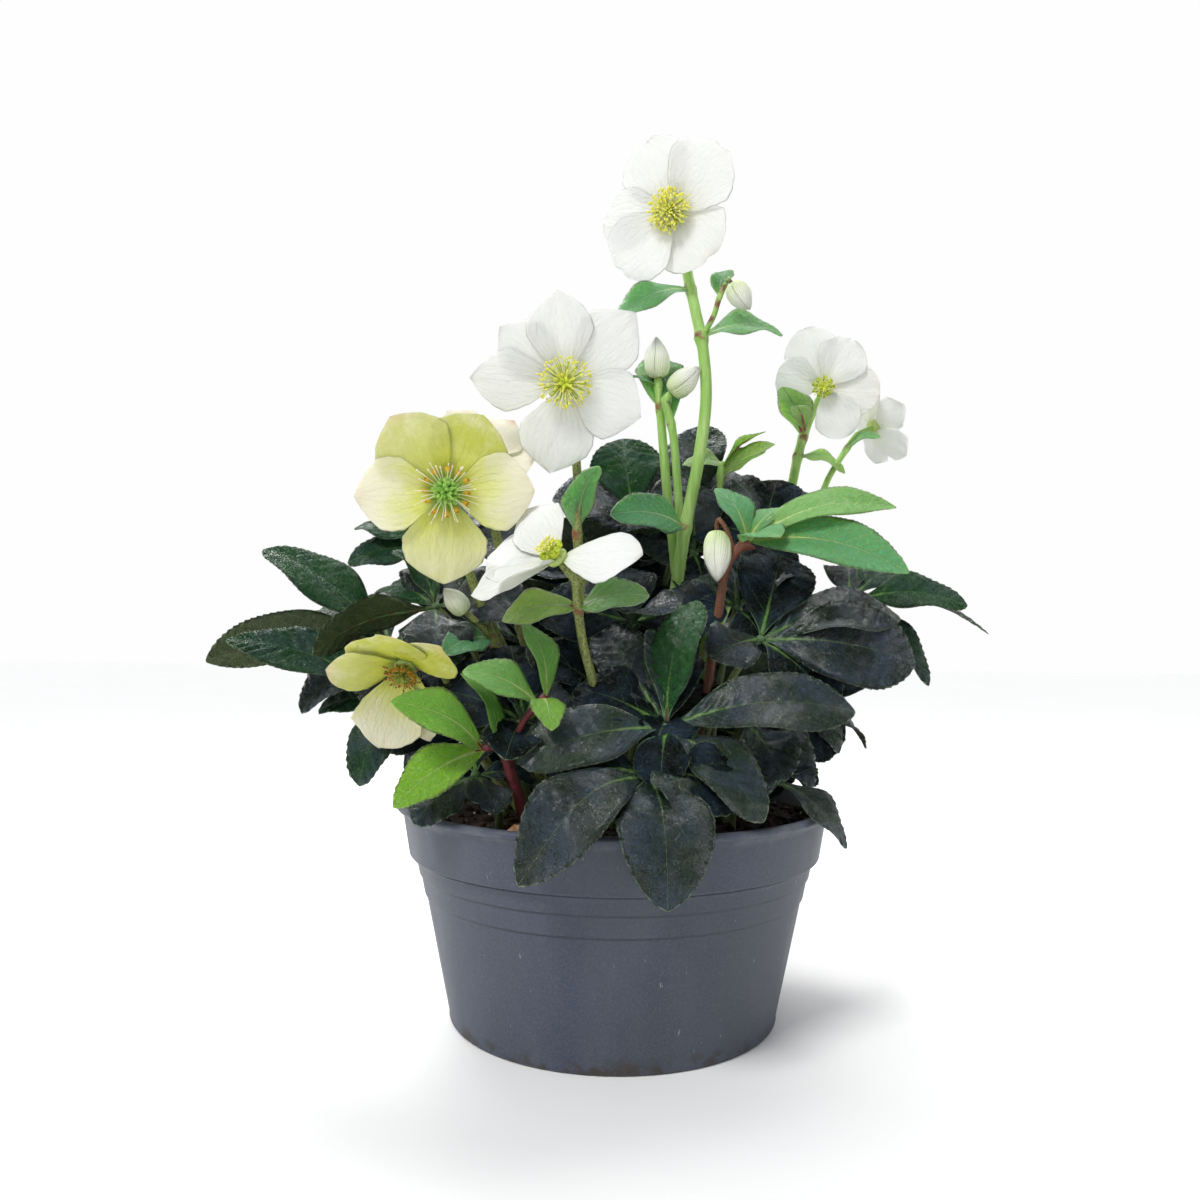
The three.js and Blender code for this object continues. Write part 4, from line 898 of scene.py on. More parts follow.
def makeLeaf(name, leaf):
    hub, top = np.array(leaf["hub"], float), np.array([*leaf["foot"], petiole["standTo"]], float)
    tall = hub[2] - top[2]
    bend = hub + (top - hub) * petiole["bendIn"]
    bend[2] = hub[2] - petiole["bendDown"] * tall
    curve = bezier(top, top + [0, 0, petiole["upright"] * tall], bend, hub, petiole["steps"])
    line = rooted(leaf["foot"], curve)
    shares = np.linspace(0, 1, len(line))
    radii = petiole["foot"] + (petiole["hub"] - petiole["foot"]) * shares
    radii = radii + petiole["swell"] * np.exp(-((1 - shares) / petiole["swellLong"]) ** 2)
    grids = Grids()
    grids.addTube(tubeRings(line, radii, petiole["sides"], petiole["squash"]), 3, along=shares[:, None],
                  tone=petiole["tone"])
    grids.addTube(lump(hub, np.array(petiole["joint"]), 3.0, 8, 10), 2, tone=petiole["jointTone"])
    style = dict(dark, bow=leaf.get("bow", dark["bow"]))
    for order, entry in enumerate(leaf["leaflets"] + leaf["more"]):
        plain = leaf.get("tone", leafTone["plain"])
        tone = entry[5] if len(entry) > 5 else plain + draw.uniform(0, leafTone["spread"])
        # inward leaflets take a lower tone, which paints shade on them
        if order >= len(leaf["leaflets"]):
            tone -= leafTone["inwardShade"]
        addBlade(grids, hub, entry, style, petiole["inset"], (0, 1, 2), tone)
    skins = [leafTop, leafUnder, leafRib, leafStalk]
    grids.piece(name + "_fine", skins, [name])


for name, leaf in leaves.items():
    makeLeaf(name, leaf)
for number, entry in enumerate(farLeaves):
    makeLeaf("leaf_far_" + str(number + 1), farLeaf(*entry))
print("dark leaves grown:", len(leaves) + len(farLeaves))


# Blooms
tepalForm = {
    "thick": 0.5, "edgeThin": 0.6, "peak": 0.58, "rows": 34, "lastRow": 0.998, "crowding": 1.55,
    "clawHalf": 0.14, "leastHalf": 0.3, "clawStart": 3, "bowlStart": 4.5, "firstLayer": -1.1,
    "layerLift": 1.5, "columns": [0.0, 0.15, 0.32, 0.5, 0.68, 0.84, 0.95, 1.0], "wave": 1.1, "waves": 1.8,
    "otherSide": 0.31, "waveFrom": (0.3, 0.85), "crease": 0.55, "creaseHalf": 1.6, "notchHalf": 3.4,
    "notchFrom": 0.72, "pucker": 0.3, "slowRuffle": 0.02, "quickRuffle": 0.012,
}
receptacle = {"half": 1.8, "between": (-1.2, 0.4, 1.4), "radii": [3.2, 4.6, 5.4, 5.2, 4.2], "sides": 24}
# Centre, facing direction, and each tepal as [angle from the front, length, width, layer, tone, own cup]
blooms = {
    "white_top": {"centre": (30, 4, 432), "face": (-118, -4), "cup": 0.36, "curl": 0.24, "tip": 0.66,
     "skin": "white", "notch": 2.6,
     "tepals": [[108, 45, 41, 0, 0.2], [42, 44, 45, 1, 0.3], [180, 43, 34, 1, 0.1],
                [224, 43, 42, 2, 0.1], [308, 39, 42, 0, 0.5]],
     "boss": {"reach": 12.5, "stamens": 190, "spread": (4, 76), "short": 0.6, "anther": 1.15, "nectaries": 12,
              "pods": 0, "carpels": 5, "skin": "yellow"}},
    "white_mid": {"centre": (-27, -38, 326), "face": (-87, -10), "cup": 0.2, "curl": 0.16, "tip": 0.95,
     "skin": "white",
     "tepals": [[45, 50, 34, 0, 0.2], [96, 46, 33, 1, 0.3], [140, 43, 31, 0, 0.3],
                [178, 48, 30, 1, 0.3], [261, 46, 38, 0, 0.2], [337, 42, 36, 1, 0.1]],
     "boss": {"reach": 13.5, "stamens": 96, "spread": (34, 84), "short": 0.78, "anther": 1.05,
              "nectaries": 13, "pods": 14, "carpels": 6, "skin": "yellow"}},
    "cream_big": {"centre": (-82, -64, 266), "face": (-82, -4), "cup": 0.22, "curl": 0.14, "tip": 0.8,
     "skin": "cream",
     "tepals": [[2, 42, 37, 1, 0.15], [66, 41, 40, 0, 0.9], [128, 44, 38, 1, 0.75],
                [184, 43, 35, 2, 0.1], [269, 44, 40, 0, 0.5]],
     "boss": {"reach": 16, "stamens": 30, "spread": (48, 80), "short": 0.72, "anther": 0.8, "nectaries": 12,
              "pods": 30, "carpels": 5, "skin": "green"}},
    "white_low": {"centre": (-27, -86, 233), "face": (-140, 42), "cup": 0.4, "curl": 0.15, "tip": 0.72,
     "skin": "white",
     "tepals": [[24, 38, 35, 0, 0.1, -0.28], [144, 41, 28, 1, 0.2, 0.46], [188, 42, 34, 0, 0.1, 0.42],
                [226, 43, 30, 1, 0.1, 0.36], [272, 32, 30, 2, 0.2, 0.64]],
     "boss": {"reach": 7, "stamens": 44, "spread": (6, 48), "short": 0.7, "anther": 0.85, "nectaries": 10,
              "pods": 0, "carpels": 4, "skin": "yellow"}},
    "cream_low": {"centre": (-100, -66.6, 182.5), "face": (-100, -50), "cup": 0.7, "curl": 0.25, "tip": 0.72,
     "skin": "cream",
     "tepals": [[92, 35, 38, 0, 0.9, 0.6], [42, 37, 32, 1, 0.95, 0.5], [154, 34, 32, 1, 0.8, 0.66],
                [244, 35, 33, 1, 0.1, 1.02], [284, 35, 18, 0, 0.3, 0.86]],
     "boss": {"reach": 8.5, "stamens": 44, "spread": (24, 80), "short": 0.7, "anther": 0.85, "nectaries": 11,
              "pods": 12, "carpels": 4, "skin": "brown"}},
    "white_right": {"centre": (123, 54, 348), "face": (-103, -8), "cup": 0.2, "curl": 0.1, "tip": 0.72,
     "skin": "white", "notch": 1.2,
     "tepals": [[108, 38, 31, 0, 0.1], [163, 30, 27, 1, 0.1], [55, 33, 30, 1, 0.1],
                [352, 34, 30, 0, 1.0], [295, 34, 27, 1, 0.4]],
     "boss": {"reach": 7, "stamens": 30, "spread": (10, 74), "short": 0.7, "anther": 0.7, "nectaries": 9,
              "pods": 14, "carpels": 4, "skin": "yellow"}},
    "white_far": {"centre": (155, 63, 326), "face": (24, 24), "cup": 0.3, "curl": 0.1, "tip": 0.72,
     "skin": "white",
     "tepals": [[90, 28, 23, 0, 0.1], [162, 26, 21, 1, 0.1], [234, 27, 22, 0, 0.1],
                [306, 27, 22, 1, 0.1], [18, 26, 21, 2, 0.2]]},
    "cream_back": {"centre": (-70, -32, 288), "face": (-76, 26), "cup": 0.3, "curl": 0.12, "tip": 0.8,
     "skin": "pale",
     "tepals": [[122, 32, 27, 0, 0.3], [50, 28, 26, 1, 0.2], [356, 27, 24, 0, 0.2],
                [194, 28, 24, 1, 0.2], [268, 26, 24, 2, 0.2]]},
}


def bloomFrame(bloom):
    forward = heading(*bloom["face"])
    right = unit(np.cross(-forward, [0, 0, 1]))
    return np.array(bloom["centre"], float), forward, right, np.cross(right, -forward)


def tepalHalf(q, wide, tip):
    power = math.log(0.5) / math.log(tepalForm["peak"])
    return wide / 2 * (tepalForm["clawHalf"] * (1 - q) ** 2 + np.sin(math.pi * q ** power) ** tip)


# One tepal as a closed skin on the bloom's shallow bowl
def addTepal(grids, bloom, entry):
    form = tepalForm
    angle, long, wide, layer, tone, *ownCup = entry
    centre, forward, right, up = bloomFrame(bloom)
    longest = max(other[1] for other in bloom["tepals"])
    along = right * math.cos(math.radians(angle)) + up * math.sin(math.radians(angle))
    across = np.cross(forward, along)
    chance, phase = draw.uniform(), draw.uniform()
    q = (1 - (1 - np.linspace(0, form["lastRow"], form["rows"])) ** form["crowding"])[:, None]
    s = mirrored(form["columns"])
    half = np.maximum(tepalHalf(q, wide, bloom["tip"]), form["leastHalf"])
    slow, quick = np.sin(fullTurn * (3 * q + phase)), np.sin(fullTurn * (7.3 * q + 2 * phase))
    x = s * half * (1 + form["slowRuffle"] * slow + form["quickRuffle"] * quick)
    notch = bloom.get("notch", 0.0) * np.exp(-(x / form["notchHalf"]) ** 2) * ease(form["notchFrom"], 1, q)
    out = form["clawStart"] + (long - form["clawStart"]) * q - notch

    # Lift above the disc: cup less curl, the layer, then waves, crease and puckers
    bowl = np.maximum(0, np.hypot(out, x) - form["bowlStart"])
    lift = (ownCup or [bloom["cup"]])[0] * bowl - bloom["curl"] * bowl * bowl / longest
    lift = lift + form["firstLayer"] + form["layerLift"] * layer
    swell = np.sin(fullTurn * (form["waves"] * q + phase + form["otherSide"] * (s > 0)))
    lift = lift + form["wave"] * swell * s * s * ease(*form["waveFrom"], q)
    lift = lift - form["crease"] * np.exp(-(x / form["creaseHalf"]) ** 2) * (1 - q) * ease(0.0, 0.15, q)
    lift = lift + form["pucker"] * np.sin(x * 0.9 + 5 * phase) * q * (1 - np.abs(s) ** 4)
    middle = centre + out[..., None] * along + x[..., None] * across + lift[..., None] * forward
    thick = (form["thick"] * (1 - form["edgeThin"] * np.abs(s) ** 3) / 2)[None, :, None] * forward
    grids.addSheet(middle, thick, (0, 1), (x / 100 + chance * 5, out / 100 + chance * 3), along=q, fromRib=s,
                   fromEdge=half * (1 - np.abs(s)), chance=chance, tone=tone)


def tepalSkin(name, look):
    skin = Skin(name, Specular_IOR_Level=0.3, **through(0.2, 0.8, 0.8, 0.75))
    flat, place, along = skin.flat(), skin.place(), skin.read("along")
    patches = skin.cloud(flat, 9, 4, 0.6)
    inner = skin.plus(skin.span(patches, 0.3, 0.7, -0.12, 0.12), along)
    base = skin.mix(skin.span(inner, look["glowTo"], 0.05, 0, look["glow"]), look["main"], look["inner"])
    toned = skin.times(skin.read("tone"), skin.span(patches, 0.25, 0.6, 0.55, 1.0))
    base = skin.mix(toned, base, look["second"])
    fan = skin.times(skin.read("fromRib"), 13.0)
    wander = skin.span(skin.cloud(flat, 24, 3), 0.2, 0.8, -0.9, 0.9)
    lines = skin.sum("SINE", skin.times(skin.plus(fan, wander), 2.4))
    veins = skin.times(skin.span(lines, 0.5, 1.0), skin.span(along, 0.05, 0.9, 1.0, 0.3))
    base = skin.mix(skin.times(veins, look["veins"]), base, look["vein"])
    base = skin.over(base, look["claw"], along, look["clawTo"], 0.0)
    patchy = skin.span(skin.cloud(place, 30, 2), 0.45, 0.65, 0, look["blush"])
    base = skin.mix(skin.times(skin.span(along, 0.8, 1.0), patchy), base, look["tip"])
    crumple = skin.cloud(skin.stretched(flat, (1.0, 0.35, 1)), 60, 4)
    normal = skin.bump(crumple, 0.0012, skin.bump(veins, 0.00018), strength=0.45)
    return skin.finish(base, skin.span(patches, 0.3, 0.7, 0.5, 0.66), normal)


whiteLook = {"main": "#e9eae6", "second": "#e4e2d9", "inner": "#e9eadb", "glow": 0.6, "glowTo": 0.5,
             "vein": "#e6e4df", "veins": 0.2, "claw": "#dbe6ac", "clawTo": 0.12, "tip": "#e3d3c6",
             "blush": 0.35}
creamLook = {"main": "#f1ecd0", "second": "#aeb30c", "inner": "#d8dc4c", "glow": 0.95, "glowTo": 0.85,
             "vein": "#cfd078", "veins": 0.2, "claw": "#9db548", "clawTo": 0.26, "tip": "#e6c6ae",
             "blush": 0.5}
paleLook = {"main": "#f3eede", "second": "#ecdfb9", "inner": "#e6e8bd", "glow": 0.8, "glowTo": 0.6,
            "vein": "#dfd9c0", "veins": 0.3, "claw": "#c9d58c", "clawTo": 0.2, "tip": "#dcb09a", "blush": 0.8}
tepalSkins = {
    "white": [tepalSkin("tepalWhite", whiteLook),
              tepalSkin("tepalWhiteBack", dict(whiteLook, inner="#e6ecc8", veins=0.5))],
    "cream": [tepalSkin("tepalCream", creamLook),
              tepalSkin("tepalCreamBack", dict(creamLook, main="#f0ecb0", veins=0.28))],
    "pale": [tepalSkin("tepalPale", paleLook),
             tepalSkin("tepalPaleBack", dict(paleLook, main="#ece7d2", veins=0.5))],
}
receptacleGreen = stalkSkin("receptacle", "#a9bf6a", "#c3d488")


# A grainy finish that runs from foot to tip, each part somewhere between two tip colours
def bossSkin(name, foot, tip, second, tipFrom=0.55):
    skin = Skin(name, Specular_IOR_Level=0.35)
    grain = skin.cloud(skin.place(), 2600, 2)
    tips = skin.mix(skin.read("chance"), tip, second)
    base = skin.mix(skin.span(skin.read("along"), tipFrom, 0.97), foot, tips)
    base = skin.over(base, foot, grain, 0.4, 0.7, 0.35)
    return skin.finish(base, skin.span(grain, 0.3, 0.7, 0.55, 0.75), skin.bump(grain, 0.00015))


# Filaments, anthers, nectaries and carpels of each kind of bloom
bossPaints = {
    "yellow": {"filamentPale": ("#e9ec9c", "#fdfdee", "#fbf3e2"),
               "antherYellow": ("#e6e24a", "#fbf88e", "#f4ef60", 0.1),
               "nectaryLime": ("#a4bc30", "#dbe852", "#c0d23c"),
               "carpelLime": ("#cdd846", "#f6f26e", "#e6e656")},
    "green": {"filamentCream": ("#dde0a8", "#fbf9ea", "#f3efd6"),
              "antherCream": ("#e6e0b0", "#f8f4de", "#ecdfae", 0.1),
              "nectaryOrange": ("#86a83c", "#e3ae2c", "#d6a022", 0.6),
              "carpelGreen": ("#6fa63e", "#a9d062", "#8fbf50", 0.2)},
    "brown": {"filamentOlive": ("#aab25a", "#d3c384", "#c29c52"),
              "antherBrown": ("#8f6a2c", "#b9873a", "#7a5a2e", 0.1),
              "nectaryAmber": ("#98a83e", "#d9952a", "#c98426", 0.55),
              "carpelOlive": ("#8a9a3c", "#b9b955", "#a0a246")},
}
bossSkins = {kind: [bossSkin(name, *paints) for name, paints in rows.items()]
             for kind, rows in bossPaints.items()}
print("bloom finishes ready")

bossForm = {
    "seat": 0.3, "domeAt": (0, 1.4, 3.0, 4.0), "domeRadii": [3.8, 3.7, 2.8, 1.2], "domeSides": 16,
    "stamen": {"sway": 0.05, "swing": 0.12, "lean": 0.82, "bend": 1.12, "mostLean": 1.5, "shorter": 1.2,
               "up": 1.2, "out": 2.2, "shares": (0.35, 0.6), "points": 6, "radii": (0.24, 0.17), "sides": 5,
               "anther": (0.62, 0.5, 0.95), "antherSize": (0.8, 1.15)},
    "pod": {"reach": 13, "cap": 0.72, "turn": 1.0, "size": (0.1, 0.085, 0.17), "up": 1.5, "out": 0.44,
            "stalk": [0.35, 0.3], "sides": 5},
    "nectary": {"lean": 82, "sway": 0.06, "long": 0.66, "size": (0.88, 1.0), "up": 0.9, "out": 1.8,
                "lift": 1.1, "shares": (0.4, 0.7), "radii": [0.55, 0.8, 1.0, 1.2, 1.35, 1.45, 1.2],
                "mouth": [0.85, 0.5], "sides": 9, "squash": 0.8},
    "carpel": {"lean": (18, 34), "turn": 0.3, "most": 9, "shorter": 1.5, "up": 1.4, "out": 1.6,
               "shares": (0.4, 0.75), "radii": [0.9, 1.25, 1.4, 1.3, 1.0, 0.6, 0.38, 0.34, 0.3], "sides": 8},
}


def turnedTo(rings, axis):
    side = unit(np.cross([0.31, 0.52, 0.8], axis))
    return rings @ np.stack([side, np.cross(axis, side), axis])


# How far along each row of rings stands, as the shaders read it
def rowShares(count, first=0.0):
    return np.linspace(first, 1, count)[:, None]


# Carpels in the middle, stamens round them and a low ring of nectaries
def makeBoss(name, bloom):
    boss, reach = bloom["boss"], bloom["boss"]["reach"]
    centre, forward, right, up = bloomFrame(bloom)
    seat = centre + forward * (receptacle["half"] + bossForm["seat"])
    golden = math.pi * (3 - math.sqrt(5))
    grids = Grids()

    def way(turn, lean):
        aside = right * math.cos(turn) + up * math.sin(turn)
        return unit(forward * math.cos(lean) + math.sin(lean) * aside)

    dome = [seat + forward * height for height in bossForm["domeAt"]]
    grids.addTube(tubeRings(dome, bossForm["domeRadii"], bossForm["domeSides"]), 3, along=0.3, chance=0.5)

    form = bossForm["stamen"]
    low, high = (math.radians(edge) for edge in boss["spread"])
    for k in range(boss["stamens"]):
        share = (k + 0.5) / boss["stamens"]
        lean = math.acos(math.cos(low) + (math.cos(high) - math.cos(low)) * share)
        lean += draw.uniform(-form["sway"], form["sway"])
        turn = k * golden + draw.uniform(-form["swing"], form["swing"])
        out, bent = way(turn, lean * form["lean"]), way(turn, min(lean * form["bend"], form["mostLean"]))
        long = (reach - form["shorter"]) * draw.uniform(boss["short"], 1.0)
        foot = seat + forward * form["up"] + out * form["out"]
        line = reaching(foot, out * long, foot + bent * long, form["shares"], form["points"])
        chance = draw.uniform()
        filament = tubeRings(line, np.linspace(*form["radii"], form["points"]), form["sides"])
        grids.addTube(filament, 0, along=rowShares(form["points"]), chance=chance)
        size = boss["anther"] * draw.uniform(*form["antherSize"])
        anther = lump(np.zeros(3), np.array(form["anther"]) * size, chance * 9, 5, 6)
        anther = turnedTo(anther, unit(line[-1] - line[-2])) + line[-1]
        grids.addTube(anther, 1, along=rowShares(5, 0.2), chance=chance)

    form = bossForm["pod"]
    for k in range(boss["pods"]):
        out = way(k * golden + form["turn"], math.acos(1 - form["cap"] * (k + 0.5) / boss["pods"]))
        size = min(reach, form["reach"])
        spot = seat + forward * form["up"] + out * size * form["out"]
        pod = turnedTo(lump(np.zeros(3), np.array(form["size"]) * size, 7.0 * k, 6, 8), out)
        grids.addTube(pod + spot, 3, along=rowShares(6, 0.3), chance=draw.uniform())
        stalk = tubeRings([seat + forward + out * 1.5, spot], form["stalk"], form["sides"])
        grids.addTube(stalk, 3, along=0.1, chance=0.5)

    form = bossForm["nectary"]
    lean = math.radians(form["lean"]) - math.atan(bloom["cup"]) / 2
    for k in range(boss["nectaries"]):
        out = way(fullTurn * k / boss["nectaries"] + draw.uniform(-form["sway"], form["sway"]), lean)
        long = reach * form["long"] * draw.uniform(*form["size"])
        foot = seat + forward * form["up"] + out * form["out"]
        curve = reaching(foot, out * long, foot + out * long + forward * form["lift"], form["shares"], 7)
        horn = tubeRings(curve, form["radii"], form["sides"], form["squash"])
        mouth = tubeRings(curve[:-3:-1], form["mouth"], form["sides"], form["squash"])
        shares = np.append(rowShares(7), [[0.9], [0.6]], 0)
        grids.addTube(np.concatenate([horn, mouth]), 2, along=shares, chance=draw.uniform())

    form = bossForm["carpel"]
    for k in range(boss["carpels"]):
        turn = fullTurn * (k + form["turn"]) / boss["carpels"]
        out, tip = (way(turn, math.radians(lean)) for lean in form["lean"])
        long = min(form["most"], reach - form["shorter"])
        foot = seat + forward * form["up"] + out * form["out"]
        curve = reaching(foot, out * long, foot + tip * long, form["shares"], 9)
        radii = np.array(form["radii"]) * (0.75 + 0.25 * reach / 13)
        grids.addTube(tubeRings(curve, radii, form["sides"]), 3, along=rowShares(9), chance=draw.uniform())
    grids.piece(name + "_fine", bossSkins[boss["skin"]], [name])


def makeBloom(name, bloom):
    centre, forward, _, _ = bloomFrame(bloom)
    grids = Grids()
    heights = [-receptacle["half"], *receptacle["between"], receptacle["half"]]
    line = [centre + forward * height for height in heights]
    grids.addTube(tubeRings(line, receptacle["radii"], receptacle["sides"]), 2, tone=0.1)
    for entry in bloom["tepals"]:
        addTepal(grids, bloom, entry)
    skins = tepalSkins[bloom["skin"]] + [receptacleGreen]
    grids.piece("tepals_" + name + "_fine", skins, ["tepals_" + name])
    if "boss" in bloom:
        makeBoss("stamens_" + name, bloom)


for name, bloom in blooms.items():
    makeBloom(name, bloom)
print("blooms opened:", len(blooms))


# Buds
budForm = {"sepals": 5, "halfAngle": 50, "narrowing": 0.25, "rows": 22, "lastRow": 0.985, "thick": 0.45,
           "overlap": 0.5, "twist": 26, "bulge": 0.05, "uneven": 0.03, "sink": 0.3, "coreSides": 12,
           "coreAt": (0.01, 0.2, 0.5, 0.8, 0.93), "coreRadii": [0.3, 0.75, 0.88, 0.5, 0.16],
           "pale": "#fdfbf0", "green": "#bcd874", "rib": "#b9d084", "edge": "#dfe3b4", "streak": "#dfe5ac"}
buds = {
    "bud_twin_left": {"base": (22, 8, 341), "aim": (-110, 79), "long": 22, "radius": 6.5, "tone": 0.1},
    "bud_twin_right": {"base": (29, 2, 331), "aim": (-20, 40), "long": 21, "radius": 6.5, "tone": 0.45},
    "bud_side": {"base": (62, -2, 390), "aim": (-35, -56), "long": 18, "radius": 6, "tone": 0.5},
    "bud_hanging": {"base": (51, -33, 251), "aim": (-93, -64), "long": 28, "radius": 6.5, "tone": 0.6},
    "bud_left": {"base": (-74, -49, 209), "aim": (-150, 42), "long": 16, "radius": 5, "tone": 0.3},
}


def budSkin():
    skin = Skin("budSepal", Specular_IOR_Level=0.35, **through(0.25, 0.8, 0.8, 0.65))
    foot = skin.span(skin.read("along"), 0.75, 0.0, 0.15, 1.0)
    green = skin.times(foot, skin.span(skin.read("tone"), 0.0, 1.0, 0.5, 1.0))
    base = skin.mix(green, budForm["pale"], budForm["green"])
    lines = skin.sum("SINE", skin.times(skin.read("fromRib"), 26.0))
    base = skin.over(base, budForm["rib"], lines, 0.3, 1.0, 0.07)
    base = skin.over(base, budForm["edge"], skin.read("fromEdge"), 0.16, 0.02, 0.5)
    streak = skin.cloud(skin.place(), 240, 3)
    base = skin.over(base, budForm["streak"], streak, 0.45, 0.75, 0.25)
    return skin.finish(base, skin.span(streak, 0.3, 0.7, 0.45, 0.6), skin.bump(lines, 0.0001))


# A core, and sepals wrapped round it that each overlap the next
def makeBud(name, bud, skin):
    form = budForm
    along = heading(*bud["aim"])
    reach = unit(np.cross([0.2, 0.9, 0.4], along))
    across = np.cross(along, reach)
    foot = np.array(bud["base"], float) + along * form["sink"]
    q = np.linspace(0, form["lastRow"], form["rows"])[:, None]
    s = np.linspace(-1, 1, 11)
    level = 0 * q + 0 * s
    share = np.minimum(1, 0.45 * (1 - q) ** 6 + np.sin(math.pi * q ** 0.75) ** 0.75)
    spread = np.radians(form["halfAngle"]) * (1 - form["narrowing"] * q)
    grids = Grids()
    core = [foot + along * bud["long"] * t for t in form["coreAt"]]
    coreRadii = np.array(form["coreRadii"]) * bud["radius"]
    grids.addTube(tubeRings(core, coreRadii, form["coreSides"]), along=0.5, tone=1.0)

    def closed(outer, inner=None):
        below = outer if inner is None else inner
        return np.concatenate([outer, below[:, ::-1]], 1)[:, ::-1]

    for k in range(form["sepals"]):
        layer = (k * 2) % form["sepals"]
        angle = fullTurn * layer / form["sepals"] + np.radians(form["twist"]) * q + s * spread
        wrap = form["overlap"] * (s + 1) * 0.5 * np.sin(math.pi * np.clip(q, 0.05, 0.95))
        outer = bud["radius"] * share * (1 + form["bulge"] * (1 - s * s)) + wrap
        stop = 1 + form["uneven"] * draw.uniform(-1, 1)
        ring = np.cos(angle)[..., None] * reach + np.sin(angle)[..., None] * across
        spine = foot + (q * stop * bud["long"])[..., None] * along
        inner = np.maximum(outer - form["thick"], 0.05)
        rings = closed(spine + outer[..., None] * ring, spine + inner[..., None] * ring)
        grids.addTube(rings, along=closed(q + level), fromRib=closed(s + level),
                      fromEdge=closed(1 - np.abs(s) + level), chance=draw.uniform(), tone=bud["tone"])
    grids.piece(name + "_fine", [skin], [name])


budPale = budSkin()
for name, bud in buds.items():
    makeBud(name, bud, budPale)
print("buds closed:", len(buds))


# Flower stems and young shoots
# The route starts above the foot and the radius runs from foot to tip. Each bract or leaflet is
# [x, y, z, turn, rise, length, width, lean, tone]; tone runs from blue-green to yellow-green.
stemForm = {"sides": 15, "ridges": 5, "ridge": 0.05, "neck": 12, "budNeck": 5, "budSink": 0.4,
            "nodeSwell": 0.2, "nodeLong": 3, "flushLong": 4, "flushMost": 0.62}
stems = {
    "stem_white_top": {"foot": (18, 2), "radius": (3.8, 2.8), "skin": "green", "bloom": "white_top",
     "route": [(26, 3, 170), (36, 1, 250), (45, 0, 300), (48, 0, 330), (46, 1, 357), (42, 6, 380),
               (38, 13, 404)],
     "branches": [{"radius": (1.6, 1.3), "route": [(47, 0, 362), (52, 0, 374), (55, 0, 384)], "flush": 0.6,
                   "bud": "bud_side"}],
     "bracts": [[40, 9, 392, -160, -26, 50, 22, 45, 0.1], [48, 0, 362, 8, 5, 46, 25, 40, 0.2],
                [56, 0, 384, 60, 60, 22, 13, 0, 0.1], [43, -3, 256, -151, 8, 46, 28, 55, 0.0]]},
    "stem_twin": {"foot": (30, 10), "radius": (3.4, 2.3), "skin": "green", "bud": "bud_twin_left",
     "route": [(33, 14, 150), (34, 14, 218), (27, 12, 285), (24, 10, 318)],
     "branches": [{"radius": (2.4, 2.2), "route": [(34, 13, 208), (36, 10, 230), (33, 8, 284), (30, 6, 312)],
                   "bud": "bud_twin_right"}],
     "bracts": [[28, 9, 325, 100, 64, 38, 27, 0, 0.3], [31, 5, 316, 85, 66, 44, 13, 0, 0.0],
                [22, 8, 336, 158, 24, 19, 13, 20, 0.1]]},
    "stem_white_mid": {"foot": (-4, -24), "radius": (2.7, 2.2), "skin": "speckled", "bloom": "white_mid",
     "flush": 0.1,
     "route": [(-9, -22, 170), (-14, -25, 205), (-20, -29, 245), (-21, -25, 283), (-24, -22, 308)],
     "bracts": [[-19, -34, 250, -41, 72, 37, 22, 0, 0.15], [-24, -26, 306, 150, 48, 42, 12, 0, 0.1]]},
    "stem_cream_big": {"foot": (-30, -24), "radius": (2.7, 2.2), "skin": "speckled", "bloom": "cream_big",
     "flush": 0.1, "route": [(-54, -28, 165), (-64, -36, 200), (-74, -44, 230), (-81, -48, 250)],
     "branches": [{"radius": (1.8, 1.4), "route": [(-62, -34, 195), (-66, -42, 201)], "bud": "bud_left"}],
     "bracts": [[-62, -37, 196, -131, -10, 32, 20, 40, 0.0]]},
    "stem_cream_back": {"foot": (-24, -8), "radius": (2.8, 2.2), "skin": "speckled", "bloom": "cream_back",
     "flush": 0.1, "route": [(-40, -14, 170), (-56, -22, 220), (-66, -24, 264)]},
    "stem_white_low": {"foot": (0, -46), "radius": (2.6, 2.0), "skin": "speckled", "bloom": "white_low",
     "flush": 0.1, "route": [(-6, -51, 145), (-10, -58, 172), (-16, -66, 196)],
     "bracts": [[-20, -76, 209, -20, 9, 35, 20, 50, 0.4], [-22, -77, 209, -172, -8, 36, 20, 50, 1.0]]},
    "stem_cream_low": {"foot": (-44, -40), "radius": (2.6, 2.2), "skin": "speckled", "bloom": "cream_low",
     "flush": 0.2, "route": [(-66, -32, 134), (-82, -30, 165), (-92, -38, 188)]},
    "stem_right": {"foot": (44, 32), "radius": (3.4, 2.6), "skin": "green", "bloom": "white_right",
     "route": [(50, 38, 170), (68, 46, 225), (100, 55, 275), (110, 61, 312), (116, 64, 330)],
     "branches": [{"radius": (2.2, 1.7), "bloom": "white_far",
                   "route": [(76, 48, 236), (116, 55, 272), (127, 56, 295), (135, 57, 308)]}],
     "bracts": [[113, 58, 320, -128, 44, 38, 21, 0, 0.7], [112, 58, 322, -112, 24, 26, 13, 0, 0.8],
                [111, 57, 308, -14, -20, 30, 18, 30, 0.8], [138, 56, 312, -40, 14, 22, 15, 30, 0.2]]},
    "stem_tulip_bud": {"foot": (38, 46), "radius": (2.4, 1.9), "skin": "green",
     "route": [(50, 50, 180), (58, 42, 243), (60, 38, 285), (61, 38, 300)],
     "bracts": [[60, 38, 294, -14, 44, 34, 15, 0, 1.0], [60, 37, 291, -20, 32, 36, 15, 50, 0.9],
                [60, 39, 291, 22, 34, 34, 15, -50, 0.9], [60, 38, 298, 150, 8, 26, 17, 40, 0.7]]},
}
